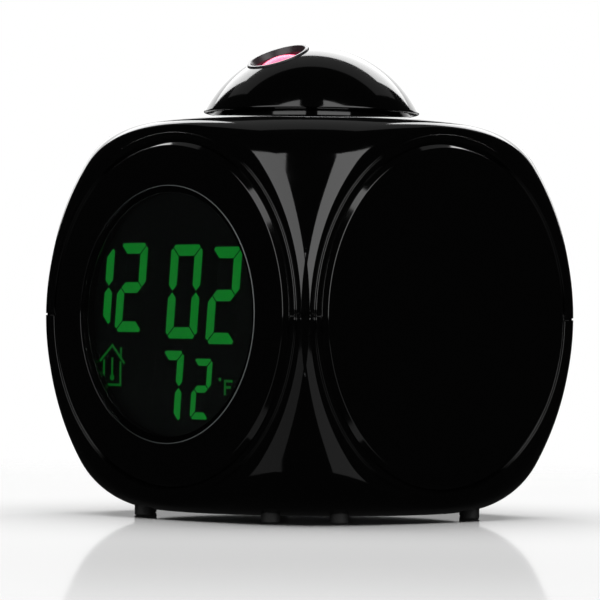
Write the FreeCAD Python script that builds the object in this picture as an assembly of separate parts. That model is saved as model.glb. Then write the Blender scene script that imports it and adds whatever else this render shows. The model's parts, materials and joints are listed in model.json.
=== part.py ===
"""Projection alarm clock: a rounded cube with a round display, standing on eight small feet.

The dome on top is pressed to snooze and carries the projector. Millimetres, +Z up.
The display faces -Y. The origin is the middle of the footprint, level with the soles of the feet.
"""
import FreeCAD, Part
import math
import os

V = FreeCAD.Vector

# Rounded body, measured from the equator, where the two shells meet
SOLE_TO_UNDERSIDE = 1.35
UNDERSIDE_DEPTH = 42.25
TOP_HEIGHT = 42.35
EQUATOR_RADIUS = 57.8
SIDE_ARC_RADIUS = 68.0
TOP_ROUND = 18.0
BOTTOM_ROUND = 19.8
FACE_PLANE = 41.3
SHELL_WALL = 2.2

# Seam between the shells
SEAM_DEPTH = 0.3
SEAM_HALF_HEIGHT = 0.2
TONGUE_INSET = 1.2
TONGUE_HEIGHT = 1.5
TONGUE_CLEARANCE = 0.1

# Round panels, one on each side
PANEL_RADIUS = 37.0
PANEL_FACE_RADIUS = 35.8
PANEL_RISE = 1.2
PANEL_PLUG_RADIUS = 33.8
PLUG_CLEARANCE = 0.2
PLUG_BACK_GAP = 0.2
RIM_GAP = 0.15
RIM_WIDTH = 1.5
RIM_RISE = 0.5

# Display window and display stack, from the front to the back
WINDOW_RADIUS = 27.4
WINDOW_CLEARANCE = 0.1
WINDOW_THICKNESS = 1.5
WINDOW_CHAMFER = 0.25
WINDOW_LEDGE = 1.5
LCD_SIZE = 57.0
LCD_CORNER = 8.0
LCD_THICKNESS = 2.2
LCD_CLEARANCE = 0.2
GUIDE_WIDTH = 53.0
GUIDE_HEIGHT = 46.0
GUIDE_THICKNESS = 3.0
GUIDE_CORNER = 1.0
ZEBRA_LENGTH = 47.0
ZEBRA_WIDTH = 2.4
ZEBRA_DEPTH = 4.6
ZEBRA_OFFSET = 26.0
HOLDER_SIZE = 61.0
HOLDER_CORNER = 5.0
BOARD_WIDTH = 60.0
BOARD_HEIGHT = 58.0
BOARD_CORNER = 3.0
BOARD_THICKNESS = 1.6
DISPLAY_SCREW_OFFSET = 26.3
BACKLIGHT_LED_SIZE = 2.0
CHIP_SIZE = 13.0
CHIP_HEIGHT = 2.0
CHIP_SHOULDER = 1.5
CHIP_CROWN_RADIUS = 3.2
CAPACITOR_RADIUS = 2.5
CAPACITOR_HEIGHT = 6.0
CAPACITOR_X = 16.0
CAPACITOR_Z = 12.0
CRYSTAL_RADIUS = 1.0
CRYSTAL_LENGTH = 6.0
CRYSTAL_Z = -13.0

# Small screws
SCREW_RADIUS = 1.0
SCREW_HEAD_RADIUS = 1.8
SCREW_HEAD_HEIGHT = 1.1
SCREW_CLEARANCE = 0.1
SCREW_BITE = 1.5

# Case screws and their posts
CASE_SCREW_RADIUS = 1.3
CASE_HEAD_RADIUS = 2.3
CASE_HEAD_HEIGHT = 1.8
CASE_SCREW_BITE = 8.0
CASE_POST_RADIUS = 3.4
CASE_POST_CIRCLE = 36.3
POST_JOINT_DEPTH = 6.0
CASE_SEAT_DEPTH = 16.0
POST_ANGLES = (45, 135, 225, 315)
POST_TIP = 0.6

# Feet
FOOT_RADIUS = 2.0
FOOT_CIRCLE = 36.2
FOOT_HALF_ANGLE = 11.5
FOOT_SOCKET = 1.05

# Rear panel: speaker grille above, four push buttons below
BUTTON_RADIUS = 4.0
BUTTON_GAP = 0.3
BUTTON_SPACING = 12.0
BUTTON_COUNT = 4
BUTTON_DROP = 14.0
BUTTON_PROUD = 0.8
BUTTON_TRAVEL = 0.5
BUTTON_FLANGE_RADIUS = 5.2
BUTTON_FLANGE_THICKNESS = 1.2
BUTTON_STEM_RADIUS = 1.5
BUTTON_STEM = 0.6
BUTTON_EDGE = 0.5
POCKET_DEPTH = 1.0
POCKET_MARGIN = 2.0
SWITCH_SIZE = 6.0
SWITCH_HEIGHT = 3.5
PLUNGER_RADIUS = 1.75
PLUNGER_RISE = 0.7
PLUNGER_LENGTH = 1.4
PLUNGER_CLEARANCE = 0.05
PLUNGER_END_GAP = 0.1
KEY_BOARD_WIDTH = 57.0
KEY_BOARD_HEIGHT = 11.0
KEY_BOARD_THICKNESS = 1.6
KEY_BOSS_X = 26.0
KEY_BOSS_RADIUS = 2.4
KEY_SCREW_GRIP = 4.0
SENSOR_RADIUS = 1.2
SENSOR_LENGTH = 3.0
GRILLE_RISE = 12.0
GRILLE_HOLE_RADIUS = 0.9
GRILLE_RING_STEP = 3.6
GRILLE_RINGS = 3
SPEAKER_RADIUS = 14.0
SPEAKER_RING_WALL = 1.5
SPEAKER_RING_DEPTH = 4.3
SPEAKER_CLEARANCE = 0.2
BASKET_DEPTH = 3.0
BASKET_WALL = 0.8
MAGNET_RADIUS = 8.5
MAGNET_DEPTH = 4.5
CONE_RADIUS = 12.6
CONE_INNER_RADIUS = 4.0
CONE_DEPTH = 1.6
CONE_WALL = 0.5
CONE_CLEARANCE = 0.2

# Battery bay for three AAA cells, with its door in the underside
CELL_RADIUS = 5.25
CELL_LENGTH = 44.5
CELL_NUB_RADIUS = 1.9
CELL_NUB_LENGTH = 0.8
CELL_SPACING = 11.0
CELL_COUNT = 3
BAY_SIDE_GAP = 0.25
TRAY_WALL = 1.4
TRAY_HEADROOM = 0.5
TRAY_RIB = 0.8
TRAY_RIB_HEIGHT = 2.5
TRAY_RIB_GAP = 0.3
EAR_LENGTH = 4.4
EAR_WIDTH = 6.0
EAR_THICKNESS = 2.0
CONTACT_THICKNESS = 0.4
CONTACT_WIDTH = 8.0
CONTACT_HEIGHT = 9.0
BATTERY_SPRING_RADIUS = 3.0
BATTERY_WIRE_RADIUS = 0.25
BATTERY_SPRING_TURNS = 4
BATTERY_SPRING_LENGTH = 4.7
DOOR_THICKNESS = 1.4
DOOR_GAP = 0.3
DOOR_SETBACK = 0.1
DOOR_LEDGE = 1.0
DOOR_LATCH_WIDTH = 12.0
DOOR_LATCH_LENGTH = 4.0
DOOR_LATCH_DEPTH = 0.7

# Dome that is pressed, its guide and what holds it
DOME_RADIUS = 26.3
DOME_CENTRE_DEPTH = 9.15
DOME_WALL = 2.0
DOME_PRESSED_GAP = 0.9
DOME_TRAVEL = 1.2
DOME_EDGE = 0.4
SLEEVE_RADIUS = 15.5
SLEEVE_WALL = 1.8
SLEEVE_CLEARANCE = 0.3
COLLAR_WALL = 1.7
COLLAR_RISE = 4.0
COLLAR_DROP = 6.0
STOP_GAP = 0.3
RETAINER_RADIUS = 18.0
RETAINER_HOLE = 9.0
RETAINER_THICKNESS = 2.0
RETAINER_SCREW_CIRCLE = 12.5
RETAINER_SCREW_ANGLES = (90, 210, 330)
RETAINER_BOSS_RADIUS = 2.2
RETAINER_BOSS_HEIGHT = 5.0
RETAINER_SCREW_LENGTH = 6.0
DOME_SPRING_CIRCLE = 14.5
DOME_SPRING_ANGLES = (30, 150, 270)
DOME_SPRING_RADIUS = 1.8
DOME_WIRE_RADIUS = 0.25
DOME_SPRING_TURNS = 5
DOME_SPRING_LENGTH = 6.6
SPRING_END_GAP = 0.05
SPRING_PEG_RADIUS = 1.2
SPRING_PEG_HEIGHT = 3.0
BRIDGE_RADIUS = 25.0
BRIDGE_THICKNESS = 2.0
PILLAR_CIRCLE = 22.0
PILLAR_RADIUS = 2.8
PILLAR_ANGLES = (90, 210, 330)
BRIDGE_SCREW_LENGTH = 8.0
SNOOZE_ANGLE = 60
SNOOZE_CIRCLE = 13.5
SNOOZE_BOARD_SIZE = 7.0
SNOOZE_BOARD_THICKNESS = 1.2
SNOOZE_PAD_RADIUS = 2.4
SNOOZE_TIP_RADIUS = 1.4
SNOOZE_TIP_HEIGHT = 2.0

# Projector, carried by the dome and tilted to the front; distances run out from the dome's centre
PROJECTOR_TILT = 24.0
BEZEL_RADIUS = 6.9
BEZEL_PROUD = 0.55
BEZEL_LENGTH = 4.05
BEZEL_LIP = 1.35
BEZEL_MOUTH_RADIUS = 6.3
BEZEL_THROAT_RADIUS = 5.6
LENS_RADIUS = 5.9
LENS_CLEARANCE = 0.1
LENS_EDGE = 1.3
LENS_SAG = 1.2
BARREL_WALL = 0.9
BARREL_START = 4.0
BARREL_LEDGE_AT = 14.2
BARREL_LEDGE = 0.8
BARREL_LEDGE_RADIUS = 5.0
BARREL_SLEEVE_WALL = 1.0
BARREL_SLEEVE_START = 12.0
BORE_CLEARANCE = 0.1
SLIDE_THICKNESS = 1.2
CONDENSER_THICKNESS = 2.5
CONDENSER_EDGE = 1.1
LED_RADIUS = 2.5
LED_LENGTH = 5.0
LED_FLANGE_RADIUS = 2.9
LED_FLANGE = 1.0
LED_BOARD_RADIUS = 7.0
LED_BOARD_THICKNESS = 1.2

# Heights and directions that follow from the sizes above
UNDERSIDE_Z = SOLE_TO_UNDERSIDE
EQUATOR_Z = UNDERSIDE_Z + UNDERSIDE_DEPTH
TOP_Z = EQUATOR_Z + TOP_HEIGHT
FLOOR_Z = UNDERSIDE_Z + SHELL_WALL
CEILING_Z = TOP_Z - SHELL_WALL
WALL_INSIDE = FACE_PLANE - SHELL_WALL
FOOT_TOP_Z = UNDERSIDE_Z + FOOT_SOCKET
PLUG_BACK = WALL_INSIDE + PLUG_BACK_GAP
PANEL_FRONT = FACE_PLANE + PANEL_RISE
MIDDLE = V(0, 0, EQUATOR_Z)
UP = V(0, 0, 1)
DOWN = V(0, 0, -1)
FRONT = V(0, -1, 0)
REAR = V(0, 1, 0)
RIGHT = V(1, 0, 0)
LEFT = V(-1, 0, 0)
SIDES = (FRONT, RIGHT, REAR, LEFT)
BIG = 200.0
LENGTH_TOLERANCE = 0.01

LCD_FRONT = WALL_INSIDE
LCD_BACK = LCD_FRONT - LCD_THICKNESS
BOARD_FRONT = LCD_BACK - ZEBRA_DEPTH
BOARD_BACK = BOARD_FRONT - BOARD_THICKNESS

COLLAR_BORE = SLEEVE_RADIUS + SLEEVE_CLEARANCE
COLLAR_BOTTOM_Z = TOP_Z - COLLAR_DROP
DOME_CENTRE = V(0, 0, TOP_Z - DOME_CENTRE_DEPTH)
DOME_BASE_Z = TOP_Z + DOME_TRAVEL + DOME_PRESSED_GAP
RETAINER_TOP_Z = COLLAR_BOTTOM_Z - STOP_GAP
RETAINER_BOTTOM_Z = RETAINER_TOP_Z - RETAINER_THICKNESS
BRIDGE_TOP_Z = RETAINER_BOTTOM_Z - DOME_SPRING_LENGTH
BRIDGE_BOTTOM_Z = BRIDGE_TOP_Z - BRIDGE_THICKNESS
TILT = math.radians(PROJECTOR_TILT)
BEAM = V(0, -math.sin(TILT), math.cos(TILT))
BORE_RADIUS = BEZEL_RADIUS + BORE_CLEARANCE
BEZEL_FRONT = math.sqrt(DOME_RADIUS ** 2 - BEZEL_RADIUS ** 2) + BEZEL_PROUD
BEZEL_BACK = BEZEL_FRONT - BEZEL_LENGTH

BAY_LENGTH = CELL_LENGTH + BATTERY_SPRING_LENGTH + 2 * CONTACT_THICKNESS
BAY_WIDTH = 2 * CELL_RADIUS + (CELL_COUNT - 1) * CELL_SPACING + 2 * BAY_SIDE_GAP
CELL_Z = FLOOR_Z + CELL_RADIUS
BAY_TOP_Z = CELL_Z + CELL_RADIUS + TRAY_HEADROOM
DOOR_BOTTOM_Z = UNDERSIDE_Z + DOOR_SETBACK
DOOR_TOP_Z = DOOR_BOTTOM_Z + DOOR_THICKNESS
LEDGE_Z = DOOR_TOP_Z + DOOR_SETBACK

POCKET_FLOOR = PANEL_FRONT - POCKET_DEPTH
BUTTON_FRONT = POCKET_FLOOR + BUTTON_PROUD
FLANGE_FRONT = PLUG_BACK - BUTTON_GAP
FLANGE_BACK = FLANGE_FRONT - BUTTON_FLANGE_THICKNESS
PLUNGER_FRONT = FLANGE_BACK - BUTTON_STEM
SWITCH_FRONT = PLUNGER_FRONT - PLUNGER_RISE
KEY_BOARD_FRONT = SWITCH_FRONT - SWITCH_HEIGHT
KEY_BOARD_BACK = KEY_BOARD_FRONT - KEY_BOARD_THICKNESS
BUTTON_Z = EQUATOR_Z - BUTTON_DROP
SPEAKER_Z = EQUATOR_Z + GRILLE_RISE


def rod(radius, start, stop, origin, direction):
    """A cylinder from start to stop, measured from origin along direction."""
    return Part.makeCylinder(radius, stop - start, origin + direction * start, direction)


def tube(outer, inner, start, stop, origin, direction):
    """A cylinder with a bore right through it."""
    return rod(outer, start, stop, origin, direction).cut(rod(inner, start, stop, origin, direction))


def block(low, high):
    """A box between two corners."""
    return Part.makeBox(high[0] - low[0], high[1] - low[1], high[2] - low[2], V(*low))


def turned(corners, origin, direction):
    """A solid of revolution from (radius, distance along the axis) corners."""
    points = [V(radius, 0, distance) for radius, distance in corners]
    face = Part.Face(Part.makePolygon(points + points[:1]))
    solid = face.revolve(V(0, 0, 0), UP, 360)
    solid.Placement = FreeCAD.Placement(origin, FreeCAD.Rotation(UP, direction))
    return solid


def plate(width, height, corner, near, far, direction):
    """An upright plate with cut corners, centred on the equator, from near to far along direction."""
    x = width / 2
    z = height / 2
    outline = [(-x + corner, -z), (x - corner, -z), (x, -z + corner), (x, z - corner),
               (x - corner, z), (-x + corner, z), (-x, z - corner), (-x, -z + corner)]
    points = [V(px, direction.y * near, EQUATOR_Z + pz) for px, pz in outline]
    face = Part.Face(Part.makePolygon(points + points[:1]))
    return face.extrude(direction * (far - near))


def on_circle(radius, angle, z=0.0):
    """A point on a circle about the clock's axis, the angle in degrees from +X."""
    turn = math.radians(angle)
    return V(radius * math.cos(turn), radius * math.sin(turn), z)


def fused(shapes):
    """All the shapes as one solid."""
    result = shapes[0]
    for shape in shapes[1:]:
        result = result.fuse(shape)
    return result.removeSplitter()


def group(shapes):
    """Separate solids that share one node."""
    return Part.makeCompound(shapes)


def screw(tip, length, direction, radius, head_radius, head_height):
    """A pan-head screw: direction points from the tip to the head."""
    shank = rod(radius, 0, length, tip, direction)
    head = rod(head_radius, length, length + head_height, tip, direction)
    return fused([shank, head])


def coil(name, radius, wire_radius, turns, length, origin, direction):
    """A coil spring, one unbroken wire whose centre line climbs evenly over the length."""
    rise = length - 2 * (wire_radius + SPRING_END_GAP)
    pitch = rise / turns
    print(name, "least gap between turns", round(pitch - 2 * wire_radius, 2), "mm")
    helix = Part.makeLongHelix(pitch, rise, radius)
    slope = V(0, 2 * math.pi * radius, pitch)
    section = Part.Wire(Part.makeCircle(wire_radius, V(radius, 0, 0), slope))
    solid = Part.Wire(helix).makePipeShell([section], True, True)
    start = origin + direction * (wire_radius + SPRING_END_GAP)
    solid.Placement = FreeCAD.Placement(start, FreeCAD.Rotation(UP, direction))
    return solid


def half_body(inset, height, edge_round, side):
    """Half of the rounded body, all faces moved in by inset: side is 1 above the equator, -1 below.

    The side is an arc centred behind the axis, joined to the flat end by a tangent round.
    """
    arc_centre = EQUATOR_RADIUS - SIDE_ARC_RADIUS
    round_height = height - edge_round
    tilt = math.asin(round_height / (SIDE_ARC_RADIUS - edge_round))
    round_centre = arc_centre + (SIDE_ARC_RADIUS - edge_round) * math.cos(tilt)
    arc = SIDE_ARC_RADIUS - inset
    bend = edge_round - inset
    middle_bend = (tilt + math.pi / 2) / 2

    def at(radius, rise):
        return V(radius, 0, EQUATOR_Z + side * rise)

    start = at(arc_centre + arc, 0)
    half_way = at(arc_centre + arc * math.cos(tilt / 2), arc * math.sin(tilt / 2))
    join = at(arc_centre + arc * math.cos(tilt), arc * math.sin(tilt))
    shoulder = at(round_centre + bend * math.cos(middle_bend), round_height + bend * math.sin(middle_bend))
    rim = at(round_centre, height - inset)
    pole = at(0, height - inset)
    curves = [
        Part.LineSegment(at(0, 0), start),
        Part.Arc(start, half_way, join),
        Part.Arc(join, shoulder, rim),
        Part.LineSegment(rim, pole),
        Part.LineSegment(pole, at(0, 0)),
    ]
    face = Part.Face(Part.Wire([curve.toShape() for curve in curves]))
    flat = FACE_PLANE - inset
    cube = block((-flat, -flat, 0), (flat, flat, EQUATOR_Z + BIG))
    return face.revolve(V(0, 0, 0), UP, 360).common(cube)


def upper_half(inset):
    return half_body(inset, TOP_HEIGHT, TOP_ROUND, 1)


def lower_half(inset):
    return half_body(inset, UNDERSIDE_DEPTH, BOTTOM_ROUND, -1)


def slab(low, high):
    """All the space between two heights."""
    return block((-BIG, -BIG, low), (BIG, BIG, high))


def panel_openings():
    """What the four round openings for the panels cut away."""
    radius = PANEL_PLUG_RADIUS + PLUG_CLEARANCE
    return fused([rod(radius, -BIG, BIG, MIDDLE, side) for side in (FRONT, RIGHT)])


def rim_rings(space):
    """The low rim round each panel, where it lies in the given space."""
    inner = PANEL_RADIUS + RIM_GAP
    outer = inner + RIM_WIDTH
    foot = FACE_PLANE - SEAM_DEPTH
    crest = FACE_PLANE + RIM_RISE
    return [tube(outer, inner, foot, crest, MIDDLE, side).common(space) for side in SIDES]


def case_posts():
    """The four posts that hang from the upper shell down to the posts of the lower shell."""
    posts = []
    for angle in POST_ANGLES:
        foot = on_circle(CASE_POST_CIRCLE, angle, EQUATOR_Z)
        posts.append(rod(CASE_POST_RADIUS, 0, TOP_HEIGHT, foot, UP).common(upper_half(SHELL_WALL / 2)))
        posts.append(rod(CASE_POST_RADIUS, 0, POST_JOINT_DEPTH, foot, DOWN))
    return posts


def upper_shell():
    """The upper half of the case, with the collar that guides the dome."""
    shell = upper_half(0).cut(upper_half(SHELL_WALL))
    seam = upper_half(0).common(slab(EQUATOR_Z, EQUATOR_Z + SEAM_HALF_HEIGHT)).cut(upper_half(SEAM_DEPTH))
    shell = shell.cut(seam)
    recess_top = EQUATOR_Z + TONGUE_HEIGHT + TONGUE_CLEARANCE
    shell = shell.cut(upper_half(TONGUE_INSET - TONGUE_CLEARANCE).common(slab(EQUATOR_Z, recess_top)))
    shell = shell.cut(panel_openings())
    collar = rod(COLLAR_BORE + COLLAR_WALL, -COLLAR_DROP, COLLAR_RISE, V(0, 0, TOP_Z), UP)
    pillars = []
    for angle in PILLAR_ANGLES:
        foot = on_circle(PILLAR_CIRCLE, angle, BRIDGE_TOP_Z)
        pillars.append(rod(PILLAR_RADIUS, 0, CEILING_Z + SHELL_WALL / 2 - BRIDGE_TOP_Z, foot, UP))
    rings = rim_rings(slab(EQUATOR_Z + SEAM_HALF_HEIGHT, TOP_Z))
    shell = fused([shell, collar] + pillars + case_posts() + rings)
    shell = shell.cut(rod(COLLAR_BORE, -COLLAR_DROP, COLLAR_RISE, V(0, 0, TOP_Z), UP))
    for angle in PILLAR_ANGLES:
        foot = on_circle(PILLAR_CIRCLE, angle, BRIDGE_TOP_Z)
        shell = shell.cut(rod(SCREW_RADIUS + SCREW_CLEARANCE, 0, BRIDGE_SCREW_LENGTH, foot, UP))
    for angle in POST_ANGLES:
        foot = on_circle(CASE_POST_CIRCLE, angle, EQUATOR_Z - POST_JOINT_DEPTH)
        shell = shell.cut(rod(CASE_SCREW_RADIUS + SCREW_CLEARANCE, 0, CASE_SCREW_BITE + POST_TIP, foot, UP))
    return shell.cut(display_screw_holes())


def display_screw_points():
    """Where the four display screws cross the plane of the front wall's inner face."""
    offset = DISPLAY_SCREW_OFFSET
    return [V(x, -WALL_INSIDE, EQUATOR_Z + z) for x in (-offset, offset) for z in (-offset, offset)]


def display_screw_holes():
    """The holes that the display screws need in the front wall, the holder and the board."""
    radius = SCREW_RADIUS + SCREW_CLEARANCE
    depth = WALL_INSIDE - BOARD_BACK
    return group([rod(radius, -SCREW_BITE, depth, point, REAR) for point in display_screw_points()])


def lower_shell():
    """The lower half of the case, with the tongue, posts, foot sockets and battery opening."""
    shell = lower_half(0).cut(lower_half(SHELL_WALL))
    seam = lower_half(0).common(slab(EQUATOR_Z - SEAM_HALF_HEIGHT, EQUATOR_Z)).cut(lower_half(SEAM_DEPTH))
    shell = shell.cut(seam)
    tongue = upper_half(TONGUE_INSET).cut(upper_half(SHELL_WALL))
    tongue = tongue.common(slab(EQUATOR_Z, EQUATOR_Z + TONGUE_HEIGHT))
    shell = fused([shell, tongue]).cut(panel_openings())
    post_top = EQUATOR_Z - POST_JOINT_DEPTH
    posts = []
    for angle in POST_ANGLES:
        foot = on_circle(CASE_POST_CIRCLE, angle)
        posts.append(rod(CASE_POST_RADIUS, 0, post_top, foot, UP).common(lower_half(SHELL_WALL / 2)))
    shell = fused([shell] + posts + rim_rings(slab(0, EQUATOR_Z - SEAM_HALF_HEIGHT)))
    for angle in POST_ANGLES:
        foot = on_circle(CASE_POST_CIRCLE, angle)
        shell = shell.cut(rod(CASE_HEAD_RADIUS + SCREW_CLEARANCE, 0, EQUATOR_Z - CASE_SEAT_DEPTH, foot, UP))
        shell = shell.cut(rod(CASE_SCREW_RADIUS + SCREW_CLEARANCE, 0, post_top, foot, UP))
    for place in foot_places():
        shell = shell.cut(rod(FOOT_RADIUS, 0, FOOT_TOP_Z, place, UP))
    half_x = BAY_LENGTH / 2
    half_y = BAY_WIDTH / 2
    shell = shell.cut(block((-half_x, -half_y, 0), (half_x, half_y, FLOOR_Z)))
    ledge_x = half_x + DOOR_LEDGE
    ledge_y = half_y + DOOR_LEDGE
    shell = shell.cut(block((-ledge_x, -ledge_y, 0), (ledge_x, ledge_y, LEDGE_Z)))
    for point in tray_screw_points():
        shell = shell.cut(rod(SCREW_RADIUS + SCREW_CLEARANCE, 0, SCREW_BITE, point, DOWN))
    return shell.cut(display_screw_holes())


def foot_places():
    """The eight feet stand in pairs, one pair to each corner."""
    angles = [corner + side * FOOT_HALF_ANGLE for corner in POST_ANGLES for side in (-1, 1)]
    return [on_circle(FOOT_CIRCLE, angle) for angle in angles]


def feet():
    """Eight small rubber feet pushed into their sockets."""
    return group([rod(FOOT_RADIUS, 0, FOOT_TOP_Z, place, UP) for place in foot_places()])


def panel(direction):
    """A round panel: a bevelled disc that stands proud, with a plug that fills the shell's opening."""
    corners = [(0, PLUG_BACK), (PANEL_PLUG_RADIUS, PLUG_BACK), (PANEL_PLUG_RADIUS, FACE_PLANE),
               (PANEL_RADIUS, FACE_PLANE), (PANEL_FACE_RADIUS, PANEL_FRONT), (0, PANEL_FRONT)]
    return turned(corners, MIDDLE, direction)


def front_panel():
    """The round front panel, with the seat for the display window."""
    bore = rod(WINDOW_RADIUS + WINDOW_CLEARANCE, PANEL_FRONT - WINDOW_THICKNESS, PANEL_FRONT, MIDDLE, FRONT)
    sight = rod(WINDOW_RADIUS - WINDOW_LEDGE, PLUG_BACK, PANEL_FRONT, MIDDLE, FRONT)
    return panel(FRONT).cut(bore).cut(sight)


def display_window():
    """The clear round window over the display, flush with the front panel."""
    back = PANEL_FRONT - WINDOW_THICKNESS
    corners = [(0, back), (WINDOW_RADIUS, back), (WINDOW_RADIUS, PANEL_FRONT - WINDOW_CHAMFER),
               (WINDOW_RADIUS - WINDOW_CHAMFER, PANEL_FRONT), (0, PANEL_FRONT)]
    return turned(corners, MIDDLE, FRONT)


def left_panel():
    return panel(LEFT)


def right_panel():
    return panel(RIGHT)


def button_places():
    """The middle of each rear button, on the panel's plane through the clock's axis."""
    first = -(BUTTON_COUNT - 1) / 2 * BUTTON_SPACING
    return [V(first + index * BUTTON_SPACING, 0, BUTTON_Z) for index in range(BUTTON_COUNT)]


def button_pocket():
    """The long round-ended pocket that the rear buttons stand in."""
    radius = BUTTON_RADIUS + POCKET_MARGIN
    places = button_places()
    ends = [rod(radius, POCKET_FLOOR, PANEL_FRONT, place, REAR) for place in (places[0], places[-1])]
    low = (places[0].x, POCKET_FLOOR, BUTTON_Z - radius)
    high = (places[-1].x, PANEL_FRONT, BUTTON_Z + radius)
    return fused(ends + [block(low, high)])


def key_boss_points():
    """Where the two bosses of the key board start on the rear panel."""
    return [V(x, 0, BUTTON_Z) for x in (-KEY_BOSS_X, KEY_BOSS_X)]


def grille_points():
    """The speaker holes: one in the middle and rings of six, twelve and eighteen round it."""
    points = [V(0, 0, SPEAKER_Z)]
    for ring in range(1, GRILLE_RINGS + 1):
        for index in range(6 * ring):
            turn = 2 * math.pi * index / (6 * ring)
            radius = ring * GRILLE_RING_STEP
            points.append(V(radius * math.cos(turn), 0, SPEAKER_Z + radius * math.sin(turn)))
    return points


def rear_panel():
    """The round rear panel, with the button pocket, speaker grille, speaker ring and board bosses."""
    ring_radius = SPEAKER_RADIUS + SPEAKER_CLEARANCE
    ring_back = PLUG_BACK - SPEAKER_RING_DEPTH
    ring = tube(ring_radius + SPEAKER_RING_WALL, ring_radius, ring_back, PLUG_BACK, V(0, 0, SPEAKER_Z), REAR)
    bosses = [rod(KEY_BOSS_RADIUS, KEY_BOARD_FRONT, PLUG_BACK, point, REAR) for point in key_boss_points()]
    shape = fused([panel(REAR), ring] + bosses)
    cuts = [button_pocket()]
    for place in button_places():
        cuts.append(rod(BUTTON_RADIUS + BUTTON_GAP, PLUG_BACK, POCKET_FLOOR, place, REAR))
    for point in grille_points():
        cuts.append(rod(GRILLE_HOLE_RADIUS, PLUG_BACK, PANEL_FRONT, point, REAR))
    for point in key_boss_points():
        start = KEY_BOARD_FRONT
        cuts.append(rod(SCREW_RADIUS + SCREW_CLEARANCE, start, start + KEY_SCREW_GRIP, point, REAR))
    for cut in cuts:
        shape = shape.cut(cut)
    return shape


def lcd_glass():
    """The liquid crystal cell behind the window."""
    return plate(LCD_SIZE, LCD_SIZE, LCD_CORNER, LCD_BACK, LCD_FRONT, FRONT)


def light_guide():
    """The clear plate that spreads the backlight behind the display."""
    return plate(GUIDE_WIDTH, GUIDE_HEIGHT, GUIDE_CORNER, LCD_BACK - GUIDE_THICKNESS, LCD_BACK, FRONT)


def zebra_block(side, margin):
    """The space of one connector strip, above or below the light guide, grown by margin."""
    half = ZEBRA_LENGTH / 2 + margin
    middle = EQUATOR_Z + side * ZEBRA_OFFSET
    low = middle - ZEBRA_WIDTH / 2 - margin
    high = middle + ZEBRA_WIDTH / 2 + margin
    return block((-half, -LCD_BACK, low), (half, -BOARD_FRONT, high))


def zebra_strips():
    """The two soft connector strips between the display and the board."""
    return group([zebra_block(-1, 0), zebra_block(1, 0)])


def backlight_led_space(side, margin):
    """The space of one backlight lamp, at the light guide's end on the given side."""
    half = BACKLIGHT_LED_SIZE / 2 + margin
    edge = GUIDE_WIDTH / 2 - BACKLIGHT_LED_SIZE
    x_low = min(side * edge, side * GUIDE_WIDTH / 2)
    low = (x_low, GUIDE_THICKNESS - LCD_BACK, EQUATOR_Z - half)
    return block(low, (x_low + BACKLIGHT_LED_SIZE, -BOARD_FRONT, EQUATOR_Z + half))


def backlight_leds():
    """The two lamps on the board that light the guide from behind its ends."""
    return group([backlight_led_space(-1, 0), backlight_led_space(1, 0)])


def lcd_holder():
    """The frame that holds the display, the light guide and the connector strips to the front wall."""
    frame = plate(HOLDER_SIZE, HOLDER_SIZE, HOLDER_CORNER, BOARD_FRONT, LCD_FRONT, FRONT)
    glass = LCD_SIZE + 2 * LCD_CLEARANCE
    frame = frame.cut(plate(glass, glass, LCD_CORNER, LCD_BACK, LCD_FRONT, FRONT))
    width = GUIDE_WIDTH + 2 * LCD_CLEARANCE
    height = GUIDE_HEIGHT + 2 * LCD_CLEARANCE
    frame = frame.cut(plate(width, height, GUIDE_CORNER, BOARD_FRONT, LCD_BACK, FRONT))
    for side in (-1, 1):
        frame = frame.cut(zebra_block(side, LCD_CLEARANCE))
    return frame.cut(display_screw_holes())


def main_board():
    """The circuit board behind the display."""
    board = plate(BOARD_WIDTH, BOARD_HEIGHT, BOARD_CORNER, BOARD_BACK, BOARD_FRONT, FRONT)
    return board.cut(display_screw_holes())


def clock_chip():
    """The clock chip under its drop of epoxy."""
    radius = CHIP_SIZE / 2
    points = [(0, 0), (radius, 0), (radius - CHIP_SHOULDER / 2, CHIP_SHOULDER),
              (CHIP_CROWN_RADIUS, CHIP_HEIGHT), (0, CHIP_HEIGHT)]
    return turned(points, V(0, -BOARD_BACK, EQUATOR_Z), REAR)


def capacitors():
    """The two electrolytic capacitors on the back of the board."""
    places = [V(x, -BOARD_BACK, EQUATOR_Z + CAPACITOR_Z) for x in (-CAPACITOR_X, CAPACITOR_X)]
    return group([rod(CAPACITOR_RADIUS, 0, CAPACITOR_HEIGHT, place, REAR) for place in places])


def crystal():
    """The watch crystal that keeps the time, lying on the board."""
    start = V(-CRYSTAL_LENGTH / 2, -BOARD_BACK + CRYSTAL_RADIUS, EQUATOR_Z + CRYSTAL_Z)
    return rod(CRYSTAL_RADIUS, 0, CRYSTAL_LENGTH, start, RIGHT)


def display_screws():
    """The four screws that hold the board and the holder to the front wall."""
    length = WALL_INSIDE - BOARD_BACK + SCREW_BITE
    shapes = []
    for point in display_screw_points():
        tip = point - REAR * SCREW_BITE
        shapes.append(screw(tip, length, REAR, SCREW_RADIUS, SCREW_HEAD_RADIUS, SCREW_HEAD_HEIGHT))
    return group(shapes)


def key_board():
    """The small board that carries the rear switches."""
    x = KEY_BOARD_WIDTH / 2
    z = KEY_BOARD_HEIGHT / 2
    board = block((-x, KEY_BOARD_BACK, BUTTON_Z - z), (x, KEY_BOARD_FRONT, BUTTON_Z + z))
    for point in key_boss_points():
        board = board.cut(rod(SCREW_RADIUS + SCREW_CLEARANCE, KEY_BOARD_BACK, KEY_BOARD_FRONT, point, REAR))
    return board


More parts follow.
